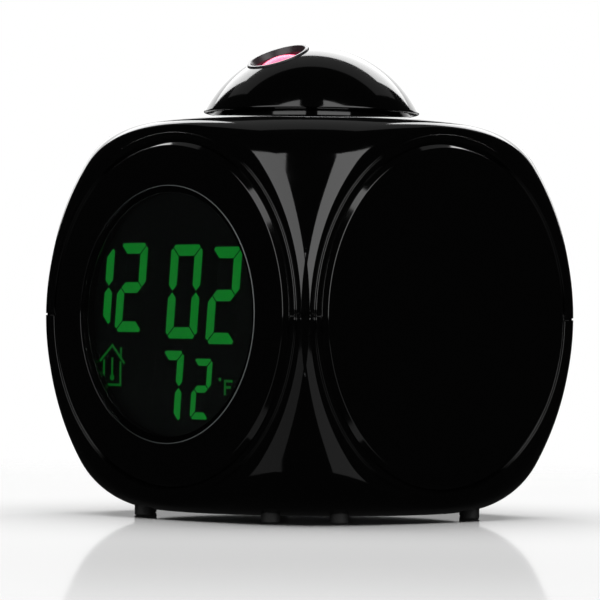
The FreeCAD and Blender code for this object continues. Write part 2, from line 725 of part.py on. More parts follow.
def key_board_screws():
    """The two screws that hold the key board to the rear panel."""
    length = KEY_BOARD_THICKNESS + KEY_SCREW_GRIP
    shapes = []
    for point in key_boss_points():
        tip = point + REAR * (KEY_BOARD_BACK + length)
        shapes.append(screw(tip, length, FRONT, SCREW_RADIUS, SCREW_HEAD_RADIUS, SCREW_HEAD_HEIGHT))
    return group(shapes)


def key_switches():
    """The four switch bodies on the key board, each bored for its plunger."""
    shapes = []
    half = SWITCH_SIZE / 2
    bore = PLUNGER_RADIUS + PLUNGER_CLEARANCE
    bore_floor = PLUNGER_FRONT - PLUNGER_LENGTH - BUTTON_TRAVEL - PLUNGER_END_GAP
    for place in button_places():
        low = (place.x - half, KEY_BOARD_FRONT, place.z - half)
        body = block(low, (place.x + half, SWITCH_FRONT, place.z + half))
        shapes.append(body.cut(rod(bore, bore_floor, SWITCH_FRONT, place, REAR)))
    return group(shapes)


def temperature_sensor():
    """The bead that measures the room's temperature, on the key board behind the rear panel."""
    return rod(SENSOR_RADIUS, KEY_BOARD_FRONT, KEY_BOARD_FRONT + SENSOR_LENGTH, V(0, 0, BUTTON_Z), REAR)


def rear_button(place):
    """A round rear button: cap, flange that stops it behind the panel, and a short stem."""
    corners = [(0, PLUNGER_FRONT), (BUTTON_STEM_RADIUS, PLUNGER_FRONT), (BUTTON_STEM_RADIUS, FLANGE_BACK),
               (BUTTON_FLANGE_RADIUS, FLANGE_BACK), (BUTTON_FLANGE_RADIUS, FLANGE_FRONT),
               (BUTTON_RADIUS, FLANGE_FRONT), (BUTTON_RADIUS, BUTTON_FRONT - BUTTON_EDGE),
               (BUTTON_RADIUS - BUTTON_EDGE, BUTTON_FRONT), (0, BUTTON_FRONT)]
    return turned(corners, place, REAR)


def plunger(place):
    """The plunger of one rear switch, which its button pushes in."""
    return rod(PLUNGER_RADIUS, PLUNGER_FRONT - PLUNGER_LENGTH, PLUNGER_FRONT, place, REAR)


def speaker_frame():
    """The speaker's steel basket with its magnet."""
    front = PLUG_BACK
    back = front - BASKET_DEPTH
    bowl = CONE_RADIUS + CONE_CLEARANCE
    corners = [(0, back - MAGNET_DEPTH), (MAGNET_RADIUS, back - MAGNET_DEPTH), (MAGNET_RADIUS, back),
               (SPEAKER_RADIUS, back), (SPEAKER_RADIUS, front), (bowl, front),
               (bowl, back + BASKET_WALL), (0, back + BASKET_WALL)]
    return turned(corners, V(0, 0, SPEAKER_Z), REAR)


def speaker_cone():
    """The speaker's shallow cone, standing on the basket's floor."""
    foot = PLUG_BACK - BASKET_DEPTH + BASKET_WALL
    rim = foot + CONE_DEPTH
    corners = [(0, foot), (CONE_INNER_RADIUS, foot), (CONE_RADIUS, rim), (CONE_RADIUS, rim + CONE_WALL),
               (CONE_INNER_RADIUS, foot + CONE_WALL), (0, foot + CONE_WALL)]
    return turned(corners, V(0, 0, SPEAKER_Z), REAR)


def tray_screw_points():
    """Where the two screws of the battery tray meet the inner floor."""
    x = BAY_LENGTH / 2 + TRAY_WALL + EAR_LENGTH / 2
    return [V(-x, 0, FLOOR_Z), V(x, 0, FLOOR_Z)]


def battery_tray():
    """The box over the three cells, open below, with an ear at each end."""
    x = BAY_LENGTH / 2
    y = BAY_WIDTH / 2
    wall = TRAY_WALL
    tray = block((-x - wall, -y - wall, FLOOR_Z), (x + wall, y + wall, BAY_TOP_Z + wall))
    tray = tray.cut(block((-x, -y, FLOOR_Z), (x, y, BAY_TOP_Z)))
    far = x + wall + EAR_LENGTH
    ears = [block((-far, -EAR_WIDTH / 2, FLOOR_Z), (-x - wall, EAR_WIDTH / 2, FLOOR_Z + EAR_THICKNESS)),
            block((x + wall, -EAR_WIDTH / 2, FLOOR_Z), (far, EAR_WIDTH / 2, FLOOR_Z + EAR_THICKNESS))]
    rib_x = x - CONTACT_THICKNESS - TRAY_RIB_GAP
    ribs = []
    for index in range(CELL_COUNT - 1):
        middle = cell_y(index) + CELL_SPACING / 2
        low = (-rib_x, middle - TRAY_RIB / 2, BAY_TOP_Z - TRAY_RIB_HEIGHT)
        ribs.append(block(low, (rib_x, middle + TRAY_RIB / 2, BAY_TOP_Z)))
    tray = fused([tray] + ears + ribs)
    for point in tray_screw_points():
        tray = tray.cut(rod(SCREW_RADIUS + SCREW_CLEARANCE, 0, EAR_THICKNESS, point, UP))
    return tray


def tray_screws():
    """The two screws that hold the battery tray to the floor."""
    length = SCREW_BITE + EAR_THICKNESS
    shapes = []
    for point in tray_screw_points():
        tip = point - UP * SCREW_BITE
        shapes.append(screw(tip, length, UP, SCREW_RADIUS, SCREW_HEAD_RADIUS, SCREW_HEAD_HEIGHT))
    return group(shapes)


def cell_y(index):
    return (index - (CELL_COUNT - 1) / 2) * CELL_SPACING


def cell_way(index):
    """Neighbouring cells lie opposite ways: 1 points the plus end to +X."""
    return 1 if index % 2 == 0 else -1


def battery_cells():
    """The AAA cells, each with its plus nub."""
    shapes = []
    for index in range(CELL_COUNT):
        way = RIGHT * cell_way(index)
        middle = V(0, cell_y(index), CELL_Z)
        nub_tip = BAY_LENGTH / 2 - CONTACT_THICKNESS
        shoulder = nub_tip - CELL_NUB_LENGTH
        can = rod(CELL_RADIUS, nub_tip - CELL_LENGTH, shoulder, middle, way)
        nub = rod(CELL_NUB_RADIUS, shoulder, nub_tip, middle, way)
        shapes.append(fused([can, nub]))
    return group(shapes)


def battery_springs():
    """The coil spring at the minus end of each cell."""
    shapes = []
    for index in range(CELL_COUNT):
        way = RIGHT * cell_way(index)
        start = V(0, cell_y(index), CELL_Z) - way * (BAY_LENGTH / 2 - CONTACT_THICKNESS)
        shapes.append(coil("battery spring", BATTERY_SPRING_RADIUS, BATTERY_WIRE_RADIUS, BATTERY_SPRING_TURNS,
                           BATTERY_SPRING_LENGTH, start, way))
    return group(shapes)


def battery_contacts():
    """The contact plates at the ends of the bay; one at each end bridges two cells."""
    shapes = []
    z_low = CELL_Z - CONTACT_HEIGHT / 2
    z_high = CELL_Z + CONTACT_HEIGHT / 2
    half = CONTACT_WIDTH / 2
    spans = {1: ((0, 0), (1, 2)), -1: ((0, 1), (2, 2))}
    for side, pairs in spans.items():
        outer = side * BAY_LENGTH / 2
        inner = outer - side * CONTACT_THICKNESS
        for first, last in pairs:
            low = (min(inner, outer), cell_y(first) - half, z_low)
            high = (max(inner, outer), cell_y(last) + half, z_high)
            shapes.append(block(low, high))
    return group(shapes)


def battery_door():
    """The door in the underside, with a finger hollow at its latch end."""
    x = BAY_LENGTH / 2 + DOOR_LEDGE - DOOR_GAP
    y = BAY_WIDTH / 2 + DOOR_LEDGE - DOOR_GAP
    door = block((-x, -y, DOOR_BOTTOM_Z), (x, y, DOOR_TOP_Z))
    hollow_low = (x - DOOR_LATCH_LENGTH - DOOR_LATCH_DEPTH, -DOOR_LATCH_WIDTH / 2, DOOR_BOTTOM_Z)
    hollow_high = (x - DOOR_LATCH_DEPTH, DOOR_LATCH_WIDTH / 2, DOOR_BOTTOM_Z + DOOR_LATCH_DEPTH)
    return door.cut(block(hollow_low, hollow_high))


def case_screws():
    """The four long screws that hold the shells together, put in from below."""
    seat = EQUATOR_Z - CASE_SEAT_DEPTH
    tip_z = EQUATOR_Z - POST_JOINT_DEPTH + CASE_SCREW_BITE
    shapes = []
    for angle in POST_ANGLES:
        tip = on_circle(CASE_POST_CIRCLE, angle, tip_z)
        shapes.append(screw(tip, tip_z - seat, DOWN, CASE_SCREW_RADIUS, CASE_HEAD_RADIUS, CASE_HEAD_HEIGHT))
    return group(shapes)


def dome_cap():
    """The pressed dome, with the sleeve that runs in the collar and the bore for the projector."""
    rise = DOME_BASE_Z - DOME_CENTRE.z
    inner = DOME_RADIUS - DOME_WALL
    outer_edge = math.acos(rise / DOME_RADIUS)
    inner_edge = math.acos(rise / inner)

    def at(radius, angle):
        return DOME_CENTRE + V(radius * math.sin(angle), 0, radius * math.cos(angle))

    curves = [
        Part.Arc(at(DOME_RADIUS, outer_edge), at(DOME_RADIUS, outer_edge / 2), at(DOME_RADIUS, 0)),
        Part.LineSegment(at(DOME_RADIUS, 0), at(inner, 0)),
        Part.Arc(at(inner, 0), at(inner, inner_edge / 2), at(inner, inner_edge)),
        Part.LineSegment(at(inner, inner_edge), at(DOME_RADIUS, outer_edge)),
    ]
    cap = Part.Face(Part.Wire([curve.toShape() for curve in curves])).revolve(V(0, 0, 0), UP, 360)
    girth = 2 * math.pi * DOME_RADIUS * math.sin(outer_edge)
    rim = [edge for edge in cap.Edges if abs(edge.Length - girth) < LENGTH_TOLERANCE]
    cap = cap.makeFillet(DOME_EDGE, rim)
    inside = Part.makeSphere(DOME_RADIUS - DOME_WALL / 2, DOME_CENTRE)
    base = V(0, 0, RETAINER_TOP_Z)
    sleeve = tube(SLEEVE_RADIUS, SLEEVE_RADIUS - SLEEVE_WALL, 0, DOME_RADIUS, base, UP).common(inside)
    holder_radius = BORE_RADIUS + BARREL_SLEEVE_WALL
    holder = rod(holder_radius, BARREL_SLEEVE_START, DOME_RADIUS, DOME_CENTRE, BEAM).common(inside)
    bosses = []
    for angle in RETAINER_SCREW_ANGLES:
        foot = on_circle(RETAINER_SCREW_CIRCLE, angle, RETAINER_TOP_Z)
        bosses.append(rod(RETAINER_BOSS_RADIUS, 0, RETAINER_BOSS_HEIGHT, foot, UP))
    cap = fused([cap, sleeve, holder] + bosses)
    cap = cap.cut(rod(BORE_RADIUS, 0, 2 * DOME_RADIUS, DOME_CENTRE, BEAM))
    for angle in RETAINER_SCREW_ANGLES:
        foot = on_circle(RETAINER_SCREW_CIRCLE, angle, RETAINER_TOP_Z)
        bite = RETAINER_SCREW_LENGTH - RETAINER_THICKNESS
        cap = cap.cut(rod(SCREW_RADIUS + SCREW_CLEARANCE, 0, bite, foot, UP))
    return cap


def dome_retainer():
    """The ring under the dome's sleeve: it stops the dome at the collar and takes the springs' push."""
    ring = tube(RETAINER_RADIUS, RETAINER_HOLE, 0, RETAINER_THICKNESS, V(0, 0, RETAINER_BOTTOM_Z), UP)
    for angle in RETAINER_SCREW_ANGLES:
        foot = on_circle(RETAINER_SCREW_CIRCLE, angle, RETAINER_BOTTOM_Z)
        ring = ring.cut(rod(SCREW_RADIUS + SCREW_CLEARANCE, 0, RETAINER_THICKNESS, foot, UP))
    return ring


def retainer_screws():
    """The three screws that hold the ring to the dome's sleeve."""
    shapes = []
    length = RETAINER_SCREW_LENGTH
    for angle in RETAINER_SCREW_ANGLES:
        tip = on_circle(RETAINER_SCREW_CIRCLE, angle, RETAINER_BOTTOM_Z + length)
        shapes.append(screw(tip, length, DOWN, SCREW_RADIUS, SCREW_HEAD_RADIUS, SCREW_HEAD_HEIGHT))
    return group(shapes)


def dome_springs():
    """The three coil springs that push the dome up again."""
    shapes = []
    for angle in DOME_SPRING_ANGLES:
        foot = on_circle(DOME_SPRING_CIRCLE, angle, BRIDGE_TOP_Z)
        shapes.append(coil("dome spring", DOME_SPRING_RADIUS, DOME_WIRE_RADIUS, DOME_SPRING_TURNS,
                           DOME_SPRING_LENGTH, foot, UP))
    return group(shapes)


def spring_bridge():
    """The plate under the dome, screwed to the shell's pillars, with a peg for each spring."""
    bridge = rod(BRIDGE_RADIUS, 0, BRIDGE_THICKNESS, V(0, 0, BRIDGE_BOTTOM_Z), UP)
    pegs = []
    for angle in DOME_SPRING_ANGLES:
        foot = on_circle(DOME_SPRING_CIRCLE, angle, BRIDGE_BOTTOM_Z)
        pegs.append(rod(SPRING_PEG_RADIUS, 0, BRIDGE_THICKNESS + SPRING_PEG_HEIGHT, foot, UP))
    bridge = fused([bridge] + pegs)
    for angle in PILLAR_ANGLES:
        foot = on_circle(PILLAR_CIRCLE, angle, BRIDGE_BOTTOM_Z)
        bridge = bridge.cut(rod(SCREW_RADIUS + SCREW_CLEARANCE, 0, BRIDGE_THICKNESS, foot, UP))
    return bridge


def bridge_screws():
    """The three screws that hold the bridge to the pillars."""
    shapes = []
    for angle in PILLAR_ANGLES:
        tip = on_circle(PILLAR_CIRCLE, angle, BRIDGE_TOP_Z + BRIDGE_SCREW_LENGTH)
        length = BRIDGE_SCREW_LENGTH + BRIDGE_THICKNESS
        shapes.append(screw(tip, length, DOWN, SCREW_RADIUS, SCREW_HEAD_RADIUS, SCREW_HEAD_HEIGHT))
    return group(shapes)


def snooze_place():
    return on_circle(SNOOZE_CIRCLE, SNOOZE_ANGLE, BRIDGE_TOP_Z)


def snooze_board():
    """The small board with the snooze contact."""
    half = SNOOZE_BOARD_SIZE / 2
    place = snooze_place()
    low = (place.x - half, place.y - half, place.z)
    return block(low, (place.x + half, place.y + half, place.z + SNOOZE_BOARD_THICKNESS))


def snooze_pad():
    """The rubber dome that the retainer squeezes onto the snooze contact."""
    height = DOME_SPRING_LENGTH - SNOOZE_BOARD_THICKNESS
    shoulder = height - SNOOZE_TIP_HEIGHT
    corners = [(0, 0), (SNOOZE_PAD_RADIUS, 0), (SNOOZE_PAD_RADIUS, shoulder / 2),
               (SNOOZE_TIP_RADIUS, shoulder), (SNOOZE_TIP_RADIUS, height), (0, height)]
    return turned(corners, snooze_place() + UP * SNOOZE_BOARD_THICKNESS, UP)


def lens_bezel():
    """The ring that holds the projector lens in the dome, standing a little proud of it."""
    seat = BEZEL_FRONT - BEZEL_LIP
    bore = LENS_RADIUS + LENS_CLEARANCE
    corners = [(bore, BEZEL_BACK), (BEZEL_RADIUS, BEZEL_BACK), (BEZEL_RADIUS, BEZEL_FRONT),
               (BEZEL_MOUTH_RADIUS, BEZEL_FRONT), (BEZEL_THROAT_RADIUS, seat), (bore, seat)]
    return turned(corners, DOME_CENTRE, BEAM)


def domed_disc(radius, edge, sag, start, origin, direction):
    """A flat-backed lens: a disc with a spherical front that rises by sag."""
    ball_radius = (radius ** 2 + sag ** 2) / (2 * sag)
    rim = start + edge
    crown = rim + sag
    half = math.asin(radius / ball_radius) / 2
    shoulder = V(ball_radius * math.sin(half), 0, crown - ball_radius * (1 - math.cos(half)))
    outline = [Part.makePolygon([V(0, 0, crown), V(0, 0, start), V(radius, 0, start), V(radius, 0, rim)]),
               Part.Arc(V(radius, 0, rim), shoulder, V(0, 0, crown)).toShape()]
    solid = Part.Face(Part.Wire(outline)).revolve(V(0, 0, 0), UP, 360)
    solid.Placement = FreeCAD.Placement(origin, FreeCAD.Rotation(UP, direction))
    return solid


def projector_lens():
    """The outer lens of the projector, seated on the barrel's front edge."""
    return domed_disc(LENS_RADIUS, LENS_EDGE, LENS_SAG, BEZEL_BACK, DOME_CENTRE, BEAM)


def projector_barrel():
    """The tube that carries the projector's optics, with a ledge between the slide and the condenser."""
    inner = BEZEL_RADIUS - BARREL_WALL
    outer_tube = tube(BEZEL_RADIUS, inner, BARREL_START, BEZEL_BACK, DOME_CENTRE, BEAM)
    start = BARREL_LEDGE_AT
    ledge = tube(inner, BARREL_LEDGE_RADIUS, start, start + BARREL_LEDGE, DOME_CENTRE, BEAM)
    return fused([outer_tube, ledge])


def time_slide():
    """The small transparent display whose digits the projector throws on the ceiling."""
    start = BARREL_LEDGE_AT + BARREL_LEDGE
    return rod(LENS_RADIUS, start, start + SLIDE_THICKNESS, DOME_CENTRE, BEAM)


def condenser_lens():
    """The lens that gathers the lamp's light onto the slide."""
    sag = CONDENSER_THICKNESS - CONDENSER_EDGE
    return domed_disc(LENS_RADIUS, CONDENSER_EDGE, sag, 0, DOME_CENTRE + BEAM * BARREL_LEDGE_AT, BEAM * -1)


def projector_lamp():
    """The red lamp of the projector, a round-headed lamp on a flange."""
    flange = rod(LED_FLANGE_RADIUS, BARREL_START, BARREL_START + LED_FLANGE, DOME_CENTRE, BEAM)
    crown = BARREL_START + LED_LENGTH
    body = rod(LED_RADIUS, BARREL_START, crown - LED_RADIUS, DOME_CENTRE, BEAM)
    head = Part.makeSphere(LED_RADIUS, DOME_CENTRE + BEAM * (crown - LED_RADIUS))
    return fused([flange, body, head])


def lamp_board():
    """The round board that closes the barrel and carries the lamp."""
    return rod(LED_BOARD_RADIUS, BARREL_START - LED_BOARD_THICKNESS, BARREL_START, DOME_CENTRE, BEAM)


BUTTON_NAMES = ("mode", "alarm", "down", "up")

PIECES = {
    "upper_shell": upper_shell,
    "lower_shell": lower_shell,
    "feet": feet,
    "case_screws": case_screws,
    "front_panel": front_panel,
    "display_window": display_window,
    "left_panel": left_panel,
    "right_panel": right_panel,
    "rear_panel": rear_panel,
    "lcd_glass": lcd_glass,
    "light_guide": light_guide,
    "backlight_leds": backlight_leds,
    "zebra_strips": zebra_strips,
    "lcd_holder": lcd_holder,
    "main_board": main_board,
    "clock_chip": clock_chip,
    "capacitors": capacitors,
    "crystal": crystal,
    "display_screws": display_screws,
    "key_board": key_board,
    "key_board_screws": key_board_screws,
    "key_switches": key_switches,
    "temperature_sensor": temperature_sensor,
    "speaker_frame": speaker_frame,
    "speaker_cone": speaker_cone,
    "battery_tray": battery_tray,
    "tray_screws": tray_screws,
    "battery_cells": battery_cells,
    "battery_springs": battery_springs,
    "battery_contacts": battery_contacts,
    "battery_door": battery_door,
    "dome_cap": dome_cap,
    "dome_retainer": dome_retainer,
    "retainer_screws": retainer_screws,
    "dome_springs": dome_springs,
    "spring_bridge": spring_bridge,
    "bridge_screws": bridge_screws,
    "snooze_board": snooze_board,
    "snooze_pad": snooze_pad,
    "lens_bezel": lens_bezel,
    "projector_lens": projector_lens,
    "projector_barrel": projector_barrel,
    "time_slide": time_slide,
    "condenser_lens": condenser_lens,
    "projector_lamp": projector_lamp,
    "lamp_board": lamp_board,
}


def main():
    os.makedirs("parts", exist_ok=True)
    shapes = {name: make() for name, make in PIECES.items()}
    for name, place in zip(BUTTON_NAMES, button_places()):
        shapes[name + "_button"] = rear_button(place)
        shapes[name + "_plunger"] = plunger(place)
    for name, shape in shapes.items():
        shape.exportStep("parts/" + name + ".step")


main()
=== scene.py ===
import json
import math

import bmesh
import bpy
import numpy as np
from bpy.props import FloatProperty, FloatVectorProperty, PointerProperty
from mathutils import Matrix, Vector


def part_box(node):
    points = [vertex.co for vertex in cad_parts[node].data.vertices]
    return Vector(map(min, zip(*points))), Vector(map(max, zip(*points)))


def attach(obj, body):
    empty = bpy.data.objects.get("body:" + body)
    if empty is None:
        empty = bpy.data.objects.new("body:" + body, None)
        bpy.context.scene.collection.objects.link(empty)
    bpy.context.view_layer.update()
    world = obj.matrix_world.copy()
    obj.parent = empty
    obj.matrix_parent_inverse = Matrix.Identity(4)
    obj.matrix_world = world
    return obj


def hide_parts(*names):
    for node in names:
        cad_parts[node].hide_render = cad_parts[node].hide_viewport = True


bl_info = {
    "name": "Projection alarm clock",
    "version": (1, 0, 0),
    "blender": (4, 5, 0),
    "location": "3D View > Sidebar > Clock",
    "description": "Dresses the packed projection alarm clock in glossy surfaces and sets its studio",
    "category": "Object",
}

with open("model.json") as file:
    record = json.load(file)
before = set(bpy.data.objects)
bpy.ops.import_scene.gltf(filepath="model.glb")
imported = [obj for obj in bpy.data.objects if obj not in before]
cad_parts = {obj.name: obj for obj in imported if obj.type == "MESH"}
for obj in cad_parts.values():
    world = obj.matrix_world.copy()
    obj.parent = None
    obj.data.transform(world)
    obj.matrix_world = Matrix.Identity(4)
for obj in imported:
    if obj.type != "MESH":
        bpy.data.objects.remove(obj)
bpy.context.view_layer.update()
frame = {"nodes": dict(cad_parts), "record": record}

MM = 0.001
ROOT_BODY = "clock_body"
DOME_BODY = "dome"
BUTTONS = ("mode", "alarm", "down", "up")
FRONT, RIGHT, REAR, LEFT, UP = (0, -1, 0), (1, 0, 0), (0, 1, 0), (-1, 0, 0), (0, 0, 1)

# Points this close become one where two grids meet
MERGE_DISTANCE = 0.002 * MM
# Where a profile is held beside a sharp corner, so that the flat faces next to it stay flat to the eye
SHARP_HOLD = 0.03 * MM
# A rounded corner is held this share of its reach beyond its ends, where the side is this many times as long
ROUND_HOLD = 0.25
ROUND_ROOM = 1.5
# Radii of the broken edges of the mouldings, from the crispest to the softest
CRISP_BREAK = 0.02 * MM
FINE_BREAK = 0.05 * MM
SMALL_BREAK = 0.1 * MM
WIDE_BREAK = 0.2 * MM
# How finely the surfaces are divided: round a small turned piece, a panel and the dome with its collar
SMALL_SEGMENTS = 128
PANEL_SEGMENTS = 192
DOME_SEGMENTS = 160
DOME_RINGS = 72
LENS_SEGMENTS = 96
LENS_RINGS = 14
FOOT_SEGMENTS = 40
BUTTON_SEGMENTS = 72
DOT_SEGMENTS = 20
# The shells: rows along a quarter of a flat side's edge, rings on the flat, steps over its soft edge,
# columns across a rounded corner, steps over the round to the flat end and rings on the underside
EDGE_ROWS = 56
FLAT_RINGS = 5
SOFT_STEPS = 13
CORNER_COLUMNS = 40
ROUND_STEPS = 26
UNDERSIDE_RINGS = 6
# Steps over a rounded corner of a profile and of the low rim in a flat side
CORNER_STEPS = 5
RIM_STEPS = 4
# The search for a flat side's edge: where it starts, where it ends, and how often the span is halved
LEAST_REACH = 25 * MM
MOST_REACH = 55 * MM
HALVINGS = 48
# Half the step over which the body's slope is measured
SLOPE_STEP = 0.01 * MM


def linear(hex_colour):
    """An sRGB hex colour such as #1a2b3c as linear red, green and blue."""
    values = np.array([int(hex_colour[i:i + 2], 16) for i in (1, 3, 5)]) / 255
    dark = values / 12.92
    bright = ((values + 0.055) / 1.055) ** 2.4
    return tuple(float(v) for v in np.where(values <= 0.04045, dark, bright))


def length(description, millimetres):
    return FloatProperty(description=description, default=millimetres * MM, unit="LENGTH", precision=5)


def turn_angle(description, degrees):
    return FloatProperty(description=description, default=math.radians(degrees), subtype="ANGLE")


def share_of(description, value):
    return FloatProperty(description=description, default=value, subtype="FACTOR")


def colour(description, hex_colour):
    return FloatVectorProperty(description=description, subtype="COLOR", size=3, min=0, max=1,
                               default=linear(hex_colour))


class CLOCK_PG_body(bpy.types.PropertyGroup):
    equator_height: length("Height of the seam between the shells above the table", 43.6)
    equator_radius: length("Radius of the rounded body at the seam", 57.8)
    side_arc: length("Radius of the arc that the body's side follows", 68.0)
    top_height: length("From the seam up to the flat top", 42.35)
    top_round: length("Radius of the round between side and top", 18.0)
    base_depth: length("From the seam down to the flat underside", 42.25)
    base_round: length("Radius of the round between side and underside", 19.8)
    face_plane: length("From the clock's axis to each flat side", 41.3)
    edge_share: share_of("Share of the flat ring round a rim that the soft edge takes", 0.66)
    seam_half: length("Half the height of the groove between the shells", 0.2)
    seam_depth: length("Depth of the groove between the shells", 0.3)
    wall: length("Thickness of the shells", 2.2)
    door_gap: length("Gap round the battery door", 0.3)
    door_ledge: length("Width of the ledge that the battery door rests on", 1.0)
    door_ledge_rise: length("From the underside up to the door's ledge", 1.6)


class CLOCK_PG_panels(bpy.types.PropertyGroup):
    radius: length("Radius of each round panel at its foot", 37.0)
    face_radius: length("Radius of a panel's flat face inside its bevel", 35.8)
    rise: length("How far each panel stands out of the flat side", 1.2)
    edge_round: length("Radius of the edge at a panel's foot", 0.15)
    face_round: length("Radius of the edge between a panel's bevel and its face", 0.3)
    plug_radius: length("Radius of the plug behind each panel", 33.8)
    plug_depth: length("From the flat side back to the end of the plug", 2.0)
    opening_gap: length("Gap between the plug and the opening in the shell", 0.2)
    rim_gap: length("Gap between a panel and the low rim round it", 0.15)
    rim_width: length("Width of the low rim round each panel", 1.5)
    rim_rise: length("Height of the low rim", 0.5)
    rim_round: length("Radius of the edges of the rim and the opening", 0.12)
    window_radius: length("Radius of the display window", 27.4)
    window_thickness: length("Thickness of the display window", 1.5)
    window_chamfer: length("Width of the polished chamfer round the window", 0.16)
    window_gap: length("Gap between the window and its seat", 0.1)
    window_ledge: length("Width of the ledge that the window rests on", 1.5)


class CLOCK_PG_dome(bpy.types.PropertyGroup):
    radius: length("Radius of the sphere that the dome is cut from", 26.3)
    centre_height: length("Height of the sphere's centre above the seam", 33.2)
    wall: length("Thickness of the dome", 2.0)
    gap: length("Gap between the dome's edge and the flat top", 2.1)
    foot_height: length("Height of the rounded edge at the dome's foot", 0.35)
    collar_radius: length("Outer radius of the collar under the dome", 17.5)
    collar_bore: length("Inner radius of the collar", 15.8)
    collar_rise: length("Height of the collar above the flat top", 4.0)
    collar_depth: length("How far the collar's bore goes below the flat top", 6.0)
    collar_round: length("Radius of the collar's edges", 0.3)
    tilt: turn_angle("Lean of the projector from upright to the front", 24.0)
    bore: length("Radius of the hole in the dome for the projector's bezel", 7.0)
    bore_edge: length("Width of the rounded edge of the hole", 0.12)
    bezel_radius: length("Outer radius of the lens bezel", 6.9)
    bezel_mouth: length("Radius of the bezel's open mouth", 6.3)
    bezel_throat: length("Radius where the bezel's mouth meets the lens", 5.6)
    bezel_proud: length("How far the bezel stands out of the dome", 0.4)
    bezel_height: length("Length of the bezel along the beam", 3.9)
    bezel_seat: length("From the bezel's front down to the end of its mouth", 1.35)
    bezel_rim_round: length("Radius of the bezel's outer front edge", 0.22)
    bezel_lip_round: length("Radius of the bezel's inner front edge", 0.15)
    lens_radius: length("Radius of the projector lens", 5.9)
    lens_gap: length("Gap between the lens and the bezel", 0.1)
    lens_edge: length("Height of the lens's straight edge", 1.3)
    lens_bulge: length("How far the lens bulges above its edge", 2.2)


class CLOCK_PG_display(bpy.types.PropertyGroup):
    plane: length("From the clock's axis to the front of the display", 39.1)
    print_height: length("How far the lit segments stand out of the display", 0.05)
    bar_gap: length("Half the gap between two bars of a digit", 0.2)
    bar_cut: share_of("Share of a bar's thickness that is cut off its outer corners", 0.5)
    lean: share_of("How far the digits lean to the right for each unit of height", 0.09)
    stroke: length("Width of the strokes of the small signs", 0.55)


class CLOCK_PG_finish(bpy.types.PropertyGroup):
    shell: colour("Colour of the glossy moulded plastic", "#020202")
    satin: colour("Colour of the satin inner mouldings", "#18181a")
    rubber: colour("Colour of the feet", "#0a0a0a")
    board: colour("Colour of the circuit boards", "#1c6a38")
    lit: colour("Colour of the lit digits", "#00781f")
    unlit: colour("Colour of the digits that are off", "#060908")
    ground: colour("Colour of the display behind the digits", "#070909")
    lens_glow: colour("Colour of the light in the projector lens", "#ff5a82")


class CLOCK_PG_stage(bpy.types.PropertyGroup):
    azimuth: turn_angle("Camera's turn round the clock from the display's side", 45.98)
    elevation: turn_angle("Camera's rise above the seam's level", -0.630254)
    roll: turn_angle("Camera's turn about its own axis", 0.595876)
    distance: length("From the camera to the clock's axis", 832.0)
    focal: FloatProperty(description="Focal length in millimetres", default=227.5)
    floor: colour("Colour of the pale floor", "#e2e2e2")
    floor_half: length("Half the side of the floor", 420.0)
    fade_start: length("Where the floor starts to fade into its surroundings", 160.0)
    floor_shine: share_of("Share of mirror reflection in the floor", 0.3)
    floor_haze: share_of("Roughness of the floor's mirror", 0.05)


def put_faces(grid_shape, start, ring, flip):
    """The quads of a grid of points whose numbers start at start, closed into a ring if asked."""
    rows, columns = grid_shape
    index = np.arange(rows * columns).reshape(rows, columns) + start
    if ring:
        index = np.hstack([index, index[:, :1]])
    corners = [index[:-1, :-1], index[:-1, 1:], index[1:, 1:], index[1:, :-1]]
    quads = np.stack(corners, axis=-1).reshape(-1, 4)
    return quads[:, ::-1] if flip else quads


class Skin:
    """Gathers grids of points in metres and turns them into one mesh whose seams are merged."""

    def __init__(self):
        self.points = []
        self.quads = []
        self.count = 0

    def add(self, grid, ring=False, flip=False):
        self.quads.append(put_faces(grid.shape[:2], self.count, ring, flip))
        self.points.append(grid.reshape(-1, 3))
        self.count += grid.shape[0] * grid.shape[1]

    def mesh(self, name):
        points = np.concatenate(self.points)
        quads = np.concatenate(self.quads)
        mesh = bpy.data.meshes.new(name)
        mesh.vertices.add(len(points))
        mesh.vertices.foreach_set("co", points.astype(np.float32).ravel())
        mesh.loops.add(quads.size)
        mesh.loops.foreach_set("vertex_index", quads.astype(np.int32).ravel())
        mesh.polygons.add(len(quads))
        mesh.polygons.foreach_set("loop_start", np.arange(0, quads.size, 4, dtype=np.int32))
        mesh.polygons.foreach_set("loop_total", np.full(len(quads), 4, dtype=np.int32))
        mesh.update(calc_edges=True)
        work = bmesh.new()
        work.from_mesh(mesh)
        bmesh.ops.remove_doubles(work, verts=work.verts, dist=MERGE_DISTANCE)
        bmesh.ops.dissolve_degenerate(work, edges=work.edges, dist=MERGE_DISTANCE)
        work.to_mesh(mesh)
        work.free()
        mesh.polygons.foreach_set("use_smooth", np.ones(len(mesh.polygons), dtype=bool))
        mesh.update()
        return mesh


def place(name, mesh, material, body, replaced=()):
    """Puts a finished mesh into the scene as a piece that rides on a body."""
    piece = bpy.data.objects.new(name, mesh)
    bpy.context.scene.collection.objects.link(piece)
    mesh.materials.append(material)
    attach(piece, body)
    if replaced:
        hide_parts(*replaced)
    return piece


def basis(axis):
    """Two unit vectors that make a right-handed frame with the axis."""
    axis = np.array(axis, dtype=float)
    helper = np.array([0.0, 0.0, 1.0]) if abs(axis[2]) < 0.9 else np.array([1.0, 0.0, 0.0])
    first = np.cross(helper, axis)
    first /= np.linalg.norm(first)
    return first, np.cross(axis, first), axis


